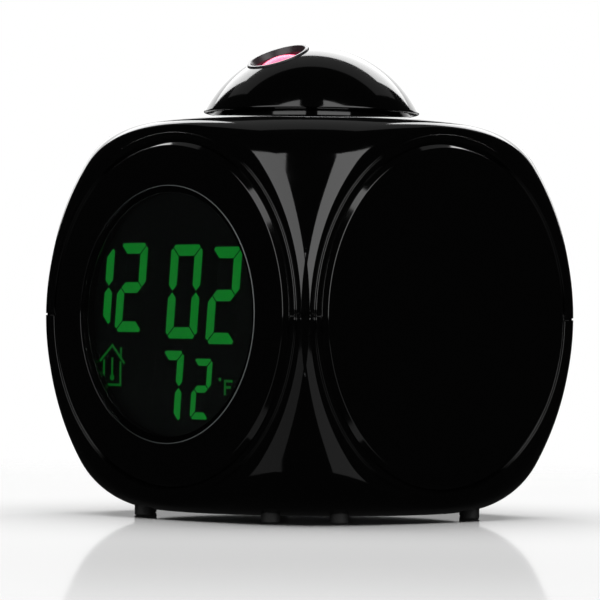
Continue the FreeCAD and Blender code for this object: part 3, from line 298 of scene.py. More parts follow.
def turned_grid(profile, origin, axis, segments):
    """Each (radius, distance) of the profile carried round the axis in a circle.

    Point = origin + distance * axis + radius * (cos a * first + sin a * second), a from 0 to a full turn.
    """
    first, second, axis = basis(axis)
    angle = np.linspace(0, 2 * np.pi, segments, endpoint=False)
    circle = np.cos(angle)[:, None] * first + np.sin(angle)[:, None] * second
    profile = np.array(profile, dtype=float)
    return np.array(origin) + profile[:, 1, None, None] * axis + profile[:, 0, None, None] * circle[None]


def rounded_corner(before, here, after, bend, steps):
    """The points of one corner with its two sides, rounded by an arc of radius bend that touches both.

    Arc = centre + (sin((1 - s) w) u + sin(s w) v) / sin w, s from 0 to 1, where u and v lead from the arc's
    centre to its ends and w is the angle between them.
    """
    back, ahead = before - here, after - here
    back_length, ahead_length = np.linalg.norm(back), np.linalg.norm(ahead)
    back, ahead = back / back_length, ahead / ahead_length
    if bend == 0:
        return [here + back * SHARP_HOLD, here, here + ahead * SHARP_HOLD]
    half = math.acos(np.clip(back @ ahead, -1, 1)) / 2
    reach = bend / math.tan(half)
    middle = back + ahead
    centre = here + middle / np.linalg.norm(middle) * bend / math.sin(half)
    start, end = here + back * reach, here + ahead * reach
    u, v = start - centre, end - centre
    span = math.acos(np.clip(u @ v / bend ** 2, -1, 1))
    share = np.linspace(0, 1, steps + 1)[:, None]
    arc = centre + (np.sin((1 - share) * span) * u + np.sin(share * span) * v) / math.sin(span)
    room = reach * (1 + ROUND_HOLD) * ROUND_ROOM
    first = [start + back * reach * ROUND_HOLD] if back_length > room else []
    last = [end + ahead * reach * ROUND_HOLD] if ahead_length > room else []
    return [*first, *arc, *last]


def softened(corners, steps=CORNER_STEPS):
    """A profile with its inner corners rounded: each corner is (radius, distance, round).

    A round of 0 stays sharp. Points are held a little before and after every corner.
    """
    places = [np.array(corner[:2], dtype=float) for corner in corners]
    profile = [places[0]]
    for before, here, after, corner in zip(places, places[1:], places[2:], corners[1:]):
        profile += rounded_corner(before, here, after, corner[2], steps)
    return np.array([*profile, places[-1]])


def turned_mesh(name, corners, origin, axis, segments=SMALL_SEGMENTS):
    skin = Skin()
    skin.add(turned_grid(softened(corners), origin, axis, segments), ring=True)
    return skin.mesh(name)


def spun(points, quarter_turns):
    """The points turned about the clock's axis by quarter turns."""
    c, s = [(1, 0), (0, 1), (-1, 0), (0, -1)][quarter_turns % 4]
    return points @ np.array([[c, s, 0], [-s, c, 0], [0, 0, 1]], dtype=float)


class Body:
    """The outer form of the rounded body: an arc for the side, a tangent round and flat ends."""

    def __init__(self, sizes, side):
        self.sizes = sizes
        self.height = sizes.top_height if side > 0 else sizes.base_depth
        self.round = sizes.top_round if side > 0 else sizes.base_round
        self.arc_centre = sizes.equator_radius - sizes.side_arc
        self.round_height = self.height - self.round
        tilt = math.asin(self.round_height / (sizes.side_arc - self.round))
        self.round_centre = self.arc_centre + (sizes.side_arc - self.round) * math.cos(tilt)
        self.join_height = sizes.side_arc * math.sin(tilt)

    def radius(self, rise):
        """The body's radius at a rise from the seam: on the side's arc, or past the join on the round."""
        on_arc = self.arc_centre + np.sqrt(np.maximum(self.sizes.side_arc ** 2 - rise ** 2, 0))
        above = np.clip(rise - self.round_height, -self.round, self.round)
        on_round = self.round_centre + np.sqrt(np.maximum(self.round ** 2 - above ** 2, 0))
        return np.where(rise <= self.join_height, on_arc, on_round)

    def outline(self, angle):
        """How far the edge of a flat side is from its middle at each angle, found by halving."""
        low = np.full_like(angle, LEAST_REACH)
        high = np.full_like(angle, MOST_REACH)
        plane = self.sizes.face_plane
        for _ in range(HALVINGS):
            middle = (low + high) / 2
            rise = middle * np.sin(angle)
            girth = self.radius(np.minimum(rise, self.height))
            inside = (girth ** 2 > plane ** 2 + (middle * np.cos(angle)) ** 2) & (rise < self.height)
            low = np.where(inside, middle, low)
            high = np.where(inside, high, middle)
        return (low + high) / 2


def face_stations(sizes, panels):
    """Radius and rise of the opening and rim in a flat side, from the opening's depth outwards.

    The last corner only gives the direction of the flat beyond the rim, and is left out.
    """
    opening = panels.plug_radius + panels.opening_gap
    rim = panels.radius + panels.rim_gap
    outer = rim + panels.rim_width
    soft = panels.rim_round
    corners = [(opening, -sizes.wall, 0), (opening, 0, soft), (rim, 0, soft), (rim, panels.rim_rise, soft),
               (outer, panels.rim_rise, soft), (outer, 0, soft), (outer + panels.rim_width, 0, 0)]
    return softened(corners, RIM_STEPS)[:-1]


class Shell:
    """The skin of one shell: four flat sides as polar grids, and four rounded corners between them."""

    def __init__(self, sizes, panels, side):
        self.sizes = sizes
        self.panels = panels
        self.side = side
        self.body = Body(sizes, side)
        quarter = np.linspace(0, np.pi / 2, EDGE_ROWS + 1)
        reach = self.body.outline(quarter)
        self.angle = np.concatenate([quarter, np.pi - quarter[-2::-1]])
        self.reach = np.concatenate([reach, reach[-2::-1]])

    def level(self, rise):
        """The height above the table of a rise from the seam, kept clear of the groove."""
        return self.sizes.equator_height + self.side * np.maximum(rise, self.sizes.seam_half)

    def groove(self, points):
        """The two rows inside the groove next to a row on the skin's edge, the deeper one first."""
        flat = points[..., :2]
        distance = np.linalg.norm(flat, axis=-1, keepdims=True)
        wall = points.copy()
        wall[..., :2] = flat * (1 - self.sizes.seam_depth / distance)
        bottom = wall.copy()
        bottom[..., 2] = self.sizes.equator_height
        return [bottom, wall]

    def depth(self, distance):
        """From the clock's axis plane to the rounded body at a distance from the flat side's middle."""
        across, rise = distance * np.cos(self.angle), distance * np.sin(self.angle)
        return np.sqrt(np.minimum(self.body.radius(rise) ** 2 - across ** 2, self.sizes.face_plane ** 2))

    def on_face(self, distance, depth):
        """Points at a distance from the flat side's middle and a depth before the clock's axis plane."""
        across, rise = distance * np.cos(self.angle), distance * np.sin(self.angle)
        return np.stack([across, -np.broadcast_to(depth, across.shape), rise], axis=-1)

    def flat_side(self):
        """A flat side's grid, whose last ring lies on the rounded body, and that ring with its plain rises.

        The grid runs outwards from its opening over the rim to a soft edge. That is a quadratic curve, which
        leaves the flat and meets the rounded body along their own tangents: its middle point is where these
        two tangents cross.
        """
        plane = self.sizes.face_plane
        stations = face_stations(self.sizes, self.panels)
        outer = stations[-1, 0]
        soft = (self.reach - outer) * self.sizes.edge_share
        grow = np.linspace(0, 1, FLAT_RINGS)[1:, None]
        flat = outer + (self.reach - soft - outer) * grow
        radii = np.vstack([np.repeat(stations[:, :1], len(self.angle), axis=1), flat])
        rises = np.vstack([np.repeat(stations[:, 1:], len(self.angle), axis=1), np.zeros_like(flat)])
        inner = self.on_face(radii, plane + rises)
        beyond = self.reach + soft
        slope = (self.depth(beyond + SLOPE_STEP) - self.depth(beyond - SLOPE_STEP)) / (2 * SLOPE_STEP)
        bend = self.on_face(beyond + (plane - self.depth(beyond)) / slope, plane)
        last = self.on_face(beyond, self.depth(beyond))
        share = np.linspace(0, 1, SOFT_STEPS)[1:, None, None]
        edge = (1 - share) ** 2 * inner[-1] + 2 * share * (1 - share) * bend + share ** 2 * last
        face = np.concatenate([inner, edge])
        face[..., 2] = self.level(face[..., 2])
        return face, last

    def turned(self, radius, turn, rise):
        """Points at a radius, a turn from the front and a rise from the seam."""
        rows = np.broadcast_arrays(radius * np.sin(turn), -radius * np.cos(turn), self.level(rise))
        return np.stack(rows, axis=-1)

    def corner(self, boundary):
        """A rounded corner's grid of level lines between two flat sides, up to the edge of the flat end."""
        body = self.body
        half = boundary[:EDGE_ROWS + 1]
        start = np.arctan2(half[:, 0], -half[:, 1])[:, None]
        span = np.linspace(0, 1, CORNER_COLUMNS + 1)
        rise = half[:, 2:3]
        side = self.turned(body.radius(rise), start + (np.pi / 2 - 2 * start) * span, rise)
        first_bend = math.asin((half[-1, 2] - body.round_height) / body.round)
        bend = np.linspace(first_bend, np.pi / 2, ROUND_STEPS)[1:, None]
        cap = self.turned(body.round_centre + body.round * np.cos(bend), np.pi / 2 * span,
                          body.round_height + body.round * np.sin(bend))
        return np.concatenate([*self.groove(side[:1]), side, cap])

    def add_to(self, skin):
        """Adds the sides and corners to the skin and returns a quarter of the flat end's edge."""
        face, boundary = self.flat_side()
        right, left = [np.stack(self.groove(face[:, column]), axis=1) for column in (0, -1)]
        face = np.concatenate([right, face, left[:, ::-1]], axis=1)
        corner = self.corner(boundary)
        for turn in range(4):
            skin.add(spun(face, turn), flip=self.side > 0)
            skin.add(spun(corner, turn), flip=self.side < 0)
        return corner[-1]


# The part of a noise pattern's values that the roughness is spread over, and the detail of grain and waves
NOISE_LOW, NOISE_HIGH = 0.3, 0.7
GRAIN_DETAIL, WAVE_DETAIL = 4.0, 2.0
GRAIN_ROUGHNESS = 0.6


def node_setter(material):
    """A function that adds a node to the material with its settings and links and returns it."""
    tree = material.node_tree

    def add(kind, settings=None, inputs=None, links=None):
        node = tree.nodes.new(kind)
        for key, value in (settings or {}).items():
            setattr(node, key, value)
        for key, value in (inputs or {}).items():
            node.inputs[key].default_value = value
        for key, source in (links or {}).items():
            tree.links.new(source, node.inputs[key])
        return node

    return add


def blank_material(name):
    """A material without nodes, and the function that adds them."""
    material = bpy.data.materials.new(name)
    material.use_nodes = True
    material.node_tree.nodes.clear()
    return material, node_setter(material)


def colour_of(base):
    """A colour given as sRGB hex or as the name of one of the finish settings."""
    return linear(base) if base.startswith("#") else tuple(getattr(bpy.context.scene.clock_finish, base))


def surface(name, base, roughness, metallic=0.0, ior=1.5, mottle=0.0, grain_mm=0.4, wave_mm=None,
            wave_height=0.0, glow=None, clear=False):
    """A moulded or machined surface: a principled shader whose roughness and bump carry fine noise.

    The mottle is how far the roughness strays, over patches of grain_mm. The waves are wave_mm across and
    wave_height high, in millimetres. The glow is a colour and its strength.
    """
    material, add = blank_material(name)
    place_on = add("ShaderNodeTexCoord")
    inputs = {"Base Color": (*colour_of(base), 1), "Metallic": metallic, "IOR": ior, "Roughness": roughness}
    if glow:
        inputs["Emission Color"] = (*colour_of(glow[0]), 1)
        inputs["Emission Strength"] = glow[1]
    if clear:
        inputs["Transmission Weight"] = 1.0
    links = {}
    if mottle:
        grain = add("ShaderNodeTexNoise",
                    inputs={"Scale": 1 / (grain_mm * MM), "Detail": GRAIN_DETAIL,
                            "Roughness": GRAIN_ROUGHNESS},
                    links={"Vector": place_on.outputs["Object"]})
        rough = add("ShaderNodeMapRange",
                    inputs={"From Min": NOISE_LOW, "From Max": NOISE_HIGH,
                            "To Min": max(roughness - mottle, 0), "To Max": roughness + mottle},
                    links={"Value": grain.outputs["Fac"]})
        links["Roughness"] = rough.outputs["Result"]
    if wave_mm:
        wave = add("ShaderNodeTexNoise", inputs={"Scale": 1 / (wave_mm * MM), "Detail": WAVE_DETAIL},
                   links={"Vector": place_on.outputs["Object"]})
        bump = add("ShaderNodeBump", inputs={"Strength": 1.0, "Distance": wave_height * MM},
                   links={"Height": wave.outputs["Fac"]})
        links["Normal"] = bump.outputs["Normal"]
    shader = add("ShaderNodeBsdfPrincipled", inputs=inputs, links=links)
    add("ShaderNodeOutputMaterial", links={"Surface": shader.outputs["BSDF"]})
    return material


# Each material's colour, a hex value or a setting, then its roughness and other values. The comments say
# what each finish gives the eye.
FINISHES = {
    # the mirror-like, almost black case, whose trace of waviness and haze keeps it from looking perfect
    "glossy injection-moulded ABS": ("shell", 0.07, dict(ior=1.53, mottle=0.02, grain_mm=2.5, wave_mm=9.0,
                                                         wave_height=0.004)),
    # inner mouldings with a soft sheen, broken up by the fine texture of an eroded mould
    "satin moulded ABS": ("satin", 0.42, dict(mottle=0.08, wave_mm=0.35, wave_height=0.01)),
    # dull black soles that swallow the light under the clock
    "moulded black rubber": ("rubber", 0.7, dict(ior=1.52, mottle=0.1, wave_mm=0.5, wave_height=0.02)),
    # the bezel's rim catches a soft grey line round the lens
    "satin bezel ABS": ("#2a2a2c", 0.3, dict(mottle=0.05, grain_mm=0.6)),
    # a clear flat pane with a hard shine
    "polished acrylic": ("#dfe4e2", 0.02, dict(ior=1.49, mottle=0.01, grain_mm=4.0, clear=True)),
    # the pane's chamfer is painted light grey as a highlight, the thin grey line round the display
    "frosted acrylic chamfer": ("#565a5a", 0.35, dict(ior=1.49, mottle=0.05, grain_mm=0.3)),
    # the deep, even dark behind the digits
    "polarised display glass": ("ground", 0.5, dict(ior=1.2, mottle=0.03, grain_mm=3.0)),
    # green light through the digits
    "backlit display segments": ("#000000", 0.5, dict(mottle=0.05, glow=("lit", 1.0))),
    # the same light through the smaller signs, half as strong
    "backlit display signs": ("#000000", 0.5, dict(mottle=0.05, glow=("lit", 0.5))),
    # bars that are off, just visible against the ground
    "display segments switched off": ("unlit", 0.5, dict(ior=1.2, mottle=0.05)),
    # the pink glow of the projector at the top of the dome
    "lit acrylic lens": ("lens_glow", 0.3, dict(ior=1.2, mottle=0.04, glow=("lens_glow", 1.25))),
    # the condenser and the outer lens: clear, with sharp highlights
    "polished acrylic lens": ("#f0f2f4", 0.03, dict(ior=1.49, mottle=0.01, clear=True)),
    # the light guide: bright, milky and smooth
    "white-backed acrylic": ("#e6e8e4", 0.2, dict(mottle=0.05)),
    # the backlight's lamps: pale, smooth resin
    "clear moulded lamp": ("#efeede", 0.15, dict(mottle=0.03)),
    # the projector's lamp, glowing red
    "clear red epoxy lamp": ("#d02030", 0.1, dict(mottle=0.03, glow=("lens_glow", 1.0))),
    # the connector strips and the snooze pad: matt and soft
    "soft silicone": ("#9a9a9e", 0.55, dict(mottle=0.1)),
    # circuit boards: lacquered green over a faint weave
    "green solder mask": ("board", 0.3, dict(mottle=0.1, wave_mm=0.8, wave_height=0.02)),
    # chips: a shiny black blob with a soft swell
    "cured black epoxy": ("#101010", 0.2, dict(wave_mm=2.0, wave_height=0.1)),
    # capacitors: tight, slightly glossy dark blue film
    "shrunk film sleeve": ("#1c2850", 0.25, dict(mottle=0.05)),
    # screws, contacts and cans: warm bright metal with fine haze
    "nickel-plated steel": ("#c9c6bd", 0.25, dict(metallic=1.0, mottle=0.08, grain_mm=0.3)),
    # the speaker's cone: dull, fibrous black
    "coated black paper": ("#1e1e1e", 0.8, dict(mottle=0.1, wave_mm=0.6, wave_height=0.05)),
    # plain grey cells with a film's gloss
    "printed film jacket": ("#8a8d90", 0.3, dict(mottle=0.08)),
    # springs: drawn wire, brighter than the plated parts
    "bright spring wire": ("#d2d0c8", 0.18, dict(metallic=1.0, mottle=0.06, grain_mm=0.25)),
}
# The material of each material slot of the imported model
SLOT_FINISHES = {
    "gloss_black_abs": "glossy injection-moulded ABS",
    "satin_black_abs": "satin moulded ABS",
    "foot_rubber": "moulded black rubber",
    "smoked_acrylic": "glossy injection-moulded ABS",
    "lcd_glass": "polarised display glass",
    "white_acrylic": "white-backed acrylic",
    "white_lamp": "clear moulded lamp",
    "grey_silicone": "soft silicone",
    "green_board": "green solder mask",
    "black_epoxy": "cured black epoxy",
    "capacitor_sleeve": "shrunk film sleeve",
    "plated_steel": "nickel-plated steel",
    "black_paper": "coated black paper",
    "cell_jacket": "printed film jacket",
    "spring_steel": "bright spring wire",
    "red_lit_lens": "satin moulded ABS",
    "clear_lens": "polished acrylic lens",
    "red_lamp": "clear red epoxy lamp",
}


def finish(name):
    """The material of that name, made when it is first asked for."""
    made = bpy.data.materials.get(name)
    if made:
        return made
    base, roughness, values = FINISHES[name]
    return surface(name, base, roughness, **values)


def gloss():
    return finish("glossy injection-moulded ABS")


class CLOCK_OT_inner_finishes(bpy.types.Operator):
    """Give every carried-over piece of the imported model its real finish"""

    bl_idname = "clock.inner_finishes"
    bl_label = "Inner finishes"

    def execute(self, context):
        slots = {part["node"]: part["material_slot"] for part in frame["record"]["subparts"]}
        for node, piece in frame["nodes"].items():
            piece.data.materials.clear()
            piece.data.materials.append(finish(SLOT_FINISHES[slots[node]]))
        return {"FINISHED"}


class CLOCK_OT_shells(bpy.types.Operator):
    """Make the smooth upper and lower shells of the case"""

    bl_idname = "clock.shells"
    bl_label = "Shells"

    def execute(self, context):
        sizes = context.scene.clock_body
        panels = context.scene.clock_panels
        upper = Skin()
        Shell(sizes, panels, 1).add_to(upper)
        upper.add(self.top(sizes, context.scene.clock_dome), ring=True)
        lower = Skin()
        rim = Shell(sizes, panels, -1).add_to(lower)
        self.underside(lower, rim, sizes)
        for side, skin in (("upper", upper), ("lower", lower)):
            name = side + "_shell_skin"
            place(name, skin.mesh(name), gloss(), ROOT_BODY, [side + "_shell"])
        return {"FINISHED"}

    def top(self, sizes, dome):
        """The flat top with the collar: a profile turned round the clock's axis."""
        top = sizes.equator_height + sizes.top_height
        lip = top + dome.collar_rise
        soft = dome.collar_round
        corners = [(Body(sizes, 1).round_centre, top, 0), (dome.collar_radius, top, soft),
                   (dome.collar_radius, lip, soft), (dome.collar_bore, lip, soft),
                   (dome.collar_bore, top - dome.collar_depth, 0)]
        return turned_grid(softened(corners), (0, 0, 0), UP, DOME_SEGMENTS)

    def underside(self, skin, rim, sizes):
        """The flat underside: straight lines from the round rim to the door's opening, then its ledge."""
        low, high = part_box("battery_door")
        half = np.array([high[0] + sizes.door_gap, high[1] + sizes.door_gap])
        base = rim[0, 2]
        ledge = base + sizes.door_ledge_rise
        blend = np.linspace(0, 1, UNDERSIDE_RINGS)[:, None, None]
        for turn in range(4):
            opening = self.opening_quarter(half, turn, len(rim))
            step = opening * np.array([*(half - sizes.door_ledge) / half, 1.0])
            flat = spun(rim, turn)[None] * (1 - blend) + (opening + (0, 0, base))[None] * blend
            walls = np.stack([opening + (0, 0, ledge), step + (0, 0, ledge),
                              step + (0, 0, base + sizes.wall)])
            skin.add(np.concatenate([flat, walls]), flip=True)

    def opening_quarter(self, half, turn, count):
        """A quarter of the door's opening: along one side to its corner, then along the next side."""
        share = np.linspace(0, 1, count)
        across, along = half[::-1] if turn % 2 else half
        quarter = np.stack([across * np.clip(share * 2, 0, 1), -along * np.clip(2 - share * 2, 0, 1),
                            np.zeros(count)], axis=-1)
        return spun(quarter, turn)


class CLOCK_OT_panels(bpy.types.Operator):
    """Make the bevelled front, left and right panels"""

    bl_idname = "clock.panels"
    bl_label = "Panels"

    def execute(self, context):
        sizes = context.scene.clock_body
        panels = context.scene.clock_panels
        plane = sizes.face_plane
        front = plane + panels.rise
        back = plane - panels.plug_depth
        sight = panels.window_radius - panels.window_ledge
        bore = panels.window_radius + panels.window_gap
        seat = front - panels.window_thickness
        outside = [(panels.plug_radius, back, WIDE_BREAK), (panels.plug_radius, plane, FINE_BREAK),
                   (panels.radius, plane, panels.edge_round), (panels.face_radius, front, panels.face_round)]
        disc = [(0, back, 0), *outside, (0, front, 0)]
        ring = [(sight, back, 0), *outside, (bore, front, SMALL_BREAK), (bore, seat, FINE_BREAK),
                (sight, seat, FINE_BREAK), (sight, back, 0)]
        for side, profile, axis in (("left", disc, LEFT), ("right", disc, RIGHT), ("front", ring, FRONT)):
            name = side + "_panel"
            mesh = turned_mesh(name + "_skin", profile, (0, 0, sizes.equator_height), axis, PANEL_SEGMENTS)
            place(name + "_skin", mesh, gloss(), ROOT_BODY, [name])
        return {"FINISHED"}


class CLOCK_OT_window(bpy.types.Operator):
    """Make the clear display window with its polished chamfer, painted light grey as a highlight"""

    bl_idname = "clock.window"
    bl_label = "Display window"

    def execute(self, context):
        sizes = context.scene.clock_body
        panels = context.scene.clock_panels
        front = sizes.face_plane + panels.rise
        back = front - panels.window_thickness
        chamfer = panels.window_chamfer
        radius = panels.window_radius
        corners = [(0, back, 0), (radius, back, FINE_BREAK), (radius, front - chamfer, 0),
                   (radius - chamfer, front, 0), (0, front, 0)]
        name = "display_window_pane"
        mesh = turned_mesh(name, corners, (0, 0, sizes.equator_height), FRONT, PANEL_SEGMENTS)
        place(name, mesh, finish("polished acrylic"), ROOT_BODY, ["display_window"])
        # The chamfer's faces get a light grey material, a painted highlight
        mesh.materials.append(finish("frosted acrylic chamfer"))
        centres = np.empty(len(mesh.polygons) * 3)
        mesh.polygons.foreach_get("center", centres)
        x, y, z = centres.reshape(-1, 3).T
        away = np.hypot(x, z - sizes.equator_height)
        on_chamfer = (away > radius - chamfer) & (-y > front - chamfer)
        mesh.polygons.foreach_set("material_index", on_chamfer.astype(np.int32))
        return {"FINISHED"}


def digit_bars(width, height, thick, gap, cut):
    """The seven bars of a digit as outlines about its lower left corner.

    The outer corners are cut off at a slant, the bars meet at slants with a small gap between them, and the
    upright bars end in points at the middle.
    """
    middle = height / 2
    half = cut / 2
    top = [(cut, height), (width - cut, height), (width - half - gap, height - half),
           (width - thick - gap, height - thick), (thick + gap, height - thick), (half + gap, height - half)]
    left = [(0, middle + thick / 2 + gap), (0, height - cut), (half, height - half - gap),
            (thick, height - thick - gap), (thick, middle + thick / 2 + gap), (thick / 2, middle + gap)]
    cross = [(thick / 2 + gap, middle), (thick + gap, middle + thick / 2),
             (width - thick - gap, middle + thick / 2), (width - thick / 2 - gap, middle),
             (width - thick - gap, middle - thick / 2), (thick + gap, middle - thick / 2)]
    top, left, cross = np.array(top), np.array(left), np.array(cross)
    across = np.array([width, 0]), np.array([-1, 1])
    over = np.array([0, height]), np.array([1, -1])
    lower_left = over[0] + over[1] * left
    return {"a": top, "g": cross, "d": over[0] + over[1] * top, "f": left, "e": lower_left,
            "b": across[0] + across[1] * left, "c": across[0] + across[1] * lower_left}


class Print:
    """Collects flat outlines printed on the display and turns them into one thin mesh."""

    def __init__(self):
        self.outlines = []

    def bar(self, outline, left=0.0, foot=0.0, lean=0.0):
        """An outline set down at a place, leaning to the right."""
        x, y = outline.T
        self.outlines.append(np.stack([left + x + lean * y, foot + y], axis=1))

    def stroke(self, start, end, width):
        """A straight line of the given width between two points, with square ends."""
        start, end = np.array(start, dtype=float), np.array(end, dtype=float)
        along = (end - start) / np.linalg.norm(end - start) * width / 2
        side = np.array([-along[1], along[0]])
        start, end = start - along, end + along
        self.bar(np.array([start + side, start - side, end - side, end + side]))

    def dot(self, across, up, radius):
        turn = np.linspace(0, 2 * np.pi, DOT_SEGMENTS, endpoint=False)
        self.bar(np.stack([across + radius * np.cos(turn), up + radius * np.sin(turn)], axis=1))

    def mesh(self, name, plane, level, thickness):
        """Each outline becomes a low prism standing on the display's plane, its faces outwards."""
        points, faces, start = [], [], 0
        for outline in self.outlines:
            following = np.roll(outline, -1, axis=0)
            area = np.sum(outline[:, 0] * following[:, 1] - following[:, 0] * outline[:, 1])
            x, z = (outline if area > 0 else outline[::-1]).T
            back = np.stack([x, np.full_like(x, -plane), level + z], axis=1)
            points += [back, back - (0, thickness, 0)]
            low = np.arange(start, start + len(x))
            high = low + len(x)
            sides = np.stack([low, np.roll(low, -1), np.roll(high, -1), high], axis=1)
            faces += [high.tolist(), low[::-1].tolist(), *sides.tolist()]
            start += 2 * len(x)
        mesh = bpy.data.meshes.new(name)
        mesh.from_pydata(np.concatenate(points), [], faces)
        return mesh


# The hour and the minutes, then the temperature: lit bars, bars that are off, left, foot, width, height and
# bar thickness, in millimetres from the display's middle
DIGITS = (
    ("bc", "", -23.4, -2.9, 2.5, 17.8, 2.4),
    ("abged", "cf", -19.3, -3.8, 9.0, 19.1, 2.3),
    ("abcdef", "g", -2.9, -5.1, 9.8, 19.9, 2.4),
    ("abged", "cf", 9.6, -6.2, 9.4, 20.4, 2.4),
    ("", "abcdefg", -14.4, -23.6, 7.2, 15.8, 2.0),
    ("abc", "defg", -5.0, -23.1, 6.8, 15.4, 2.0),
    ("abged", "cf", 5.0, -22.1, 5.9, 12.8, 1.5),
)
# The strokes of the sign for indoors, a house with a chimney and a thermometer, and of the letter F
HOUSE = (((-22.6, -15.2), (-22.6, -10.0)), ((-17.2, -15.2), (-17.2, -10.4)),
         ((-22.6, -15.2), (-17.2, -15.2)), ((-23.7, -9.9), (-19.9, -6.7)), ((-19.9, -6.7), (-16.1, -10.4)),
         ((-17.1, -9.2), (-17.1, -7.4)), ((-19.9, -14.0), (-19.9, -9.6)))
LETTER_F = (((15.9, -16.6), (15.9, -13.9)), ((15.9, -13.9), (17.9, -13.9)), ((15.9, -15.2), (17.4, -15.2)))
# The thermometer's bulb and the degree sign: middle and radius
DOTS = ((-19.9, -13.6, 0.7), (14.3, -13.6, 0.4))


class CLOCK_OT_display(bpy.types.Operator):
    """Make the display's lit digits, its small signs and the digits that are off"""

    bl_idname = "clock.display"
    bl_label = "Display"

    def execute(self, context):
        look = context.scene.clock_display
        lit, unlit, signs = Print(), Print(), Print()
        for shown, hidden, left, foot, *digit in DIGITS:
            width, height, thick = (value * MM for value in digit)
            bars = digit_bars(width, height, thick, look.bar_gap, thick * look.bar_cut)
            for sheet, letters in ((lit, shown), (unlit, hidden)):
                for letter in letters:
                    sheet.bar(bars[letter], left * MM, foot * MM, look.lean)
        for start, end in HOUSE + LETTER_F:
            signs.stroke(np.array(start) * MM, np.array(end) * MM, look.stroke)
        for dot in DOTS:
            signs.dot(*(value * MM for value in dot))
        self.lay(context, "lit_digits", lit, look.print_height, "backlit display segments")
        self.lay(context, "lit_signs", signs, look.print_height, "backlit display signs")
        self.lay(context, "unlit_digits", unlit, look.print_height / 2, "display segments switched off")
        return {"FINISHED"}

    def lay(self, context, name, sheet, height, material):
        """Lays a print on the display as a piece of its own."""
        scene = context.scene
        mesh = sheet.mesh(name, scene.clock_display.plane, scene.clock_body.equator_height, height)
        place(name, mesh, finish(material), ROOT_BODY)


def projector_beam(dome):
    return np.array([0, -math.sin(dome.tilt), math.cos(dome.tilt)])


# The bore's rounded edge as steps beyond its radius and along the beam, the deepest first, in millimetres
BORE_EDGE = ((0, -3.0), (0, -0.3), (0, -0.1), (0.03, -0.03))
# The dome's rounded lower edge and the start of its inner wall, as steps outwards and up in millimetres from
# the sphere's edge and from the inner wall
OUTER_FOOT = ((0.02, 0.2), (-0.08, 0.08), (-0.25, 0), (-0.5, 0))
INNER_FOOT = ((0.2, 0), (0, 0.2), (-2.0, 4.0))
# The share of the sphere's stretch at which the row next to the bore is held
BORE_HOLD = 0.004


class CLOCK_OT_dome(bpy.types.Operator):
    """Make the pressed dome with its bore for the projector"""

    bl_idname = "clock.dome"
    bl_label = "Dome"

    def execute(self, context):
        sizes = context.scene.clock_body
        dome = context.scene.clock_dome
        centre = np.array([0, 0, sizes.equator_height + dome.centre_height])
        base = sizes.equator_height + sizes.top_height + dome.gap
        sphere = self.sphere(dome, centre, base + dome.foot_height)
        skin = Skin()
        skin.add(np.concatenate([self.well(dome, centre, sphere[0]), sphere,
                                 self.foot(dome, centre, base, sphere[-1])]), ring=True)
        place("dome_skin", skin.mesh("dome_skin"), gloss(), DOME_BODY, ["dome_cap"])
        return {"FINISHED"}

    def sphere(self, dome, centre, height):
        """The sphere between the projector's bore and a level plane.

        A point lies at angle b round the beam and angle a from it: centre + radius * (cos a * beam + sin a *
        (cos b * first + sin b * second)), where a runs from the bore's edge to the level plane.
        """
        first = np.array([0, math.cos(dome.tilt), math.sin(dome.tilt)])
        second = np.array([1.0, 0, 0])
        beam = projector_beam(dome)
        turn = np.linspace(0, 2 * np.pi, DOME_SEGMENTS, endpoint=False)
        side = np.cos(turn)[:, None] * first + np.sin(turn)[:, None] * second
        across = side[:, 2]
        level = (height - centre[2]) / dome.radius / np.hypot(across, beam[2])
        reach = np.arctan2(across, beam[2]) + np.arccos(np.clip(level, -1, 1))
        start = math.asin((dome.bore + dome.bore_edge) / dome.radius)
        share = np.linspace(0, 1, DOME_RINGS)[:, None]
        share = np.vstack([share[:1], share[:1] + BORE_HOLD, share[1:]])
        angle = (start + (reach[None] - start) * share)[..., None]
        return centre + dome.radius * (np.cos(angle) * beam + np.sin(angle) * side[None])

    def well(self, dome, centre, edge):
        """The rounded edge and the wall of the bore, deepest first."""
        beam = projector_beam(dome)
        along = (edge - centre) @ beam
        out = edge - centre - along[:, None] * beam
        out /= np.linalg.norm(out, axis=1, keepdims=True)
        wider, drop = (np.array(BORE_EDGE) * MM).T[:, :, None, None]
        return centre + (along[None, :, None] + drop) * beam + out[None] * (dome.bore + wider)

    def foot(self, dome, centre, base, edge):
        """The rounded lower edge, the flat foot and the start of the inner wall."""
        out = edge - centre
        out[:, 2] = 0
        radius = np.linalg.norm(out, axis=1, keepdims=True)
        inner = math.sqrt((dome.radius - dome.wall) ** 2 - (base - centre[2]) ** 2)
        steps = np.vstack([np.array(OUTER_FOOT) * MM + (radius[0, 0], 0),
                           np.array(INNER_FOOT) * MM + (inner, 0)])
        rows = (out / radius)[None] * steps[:, :1, None]
        rows[..., 2] = base + steps[:, 1:]
        return rows


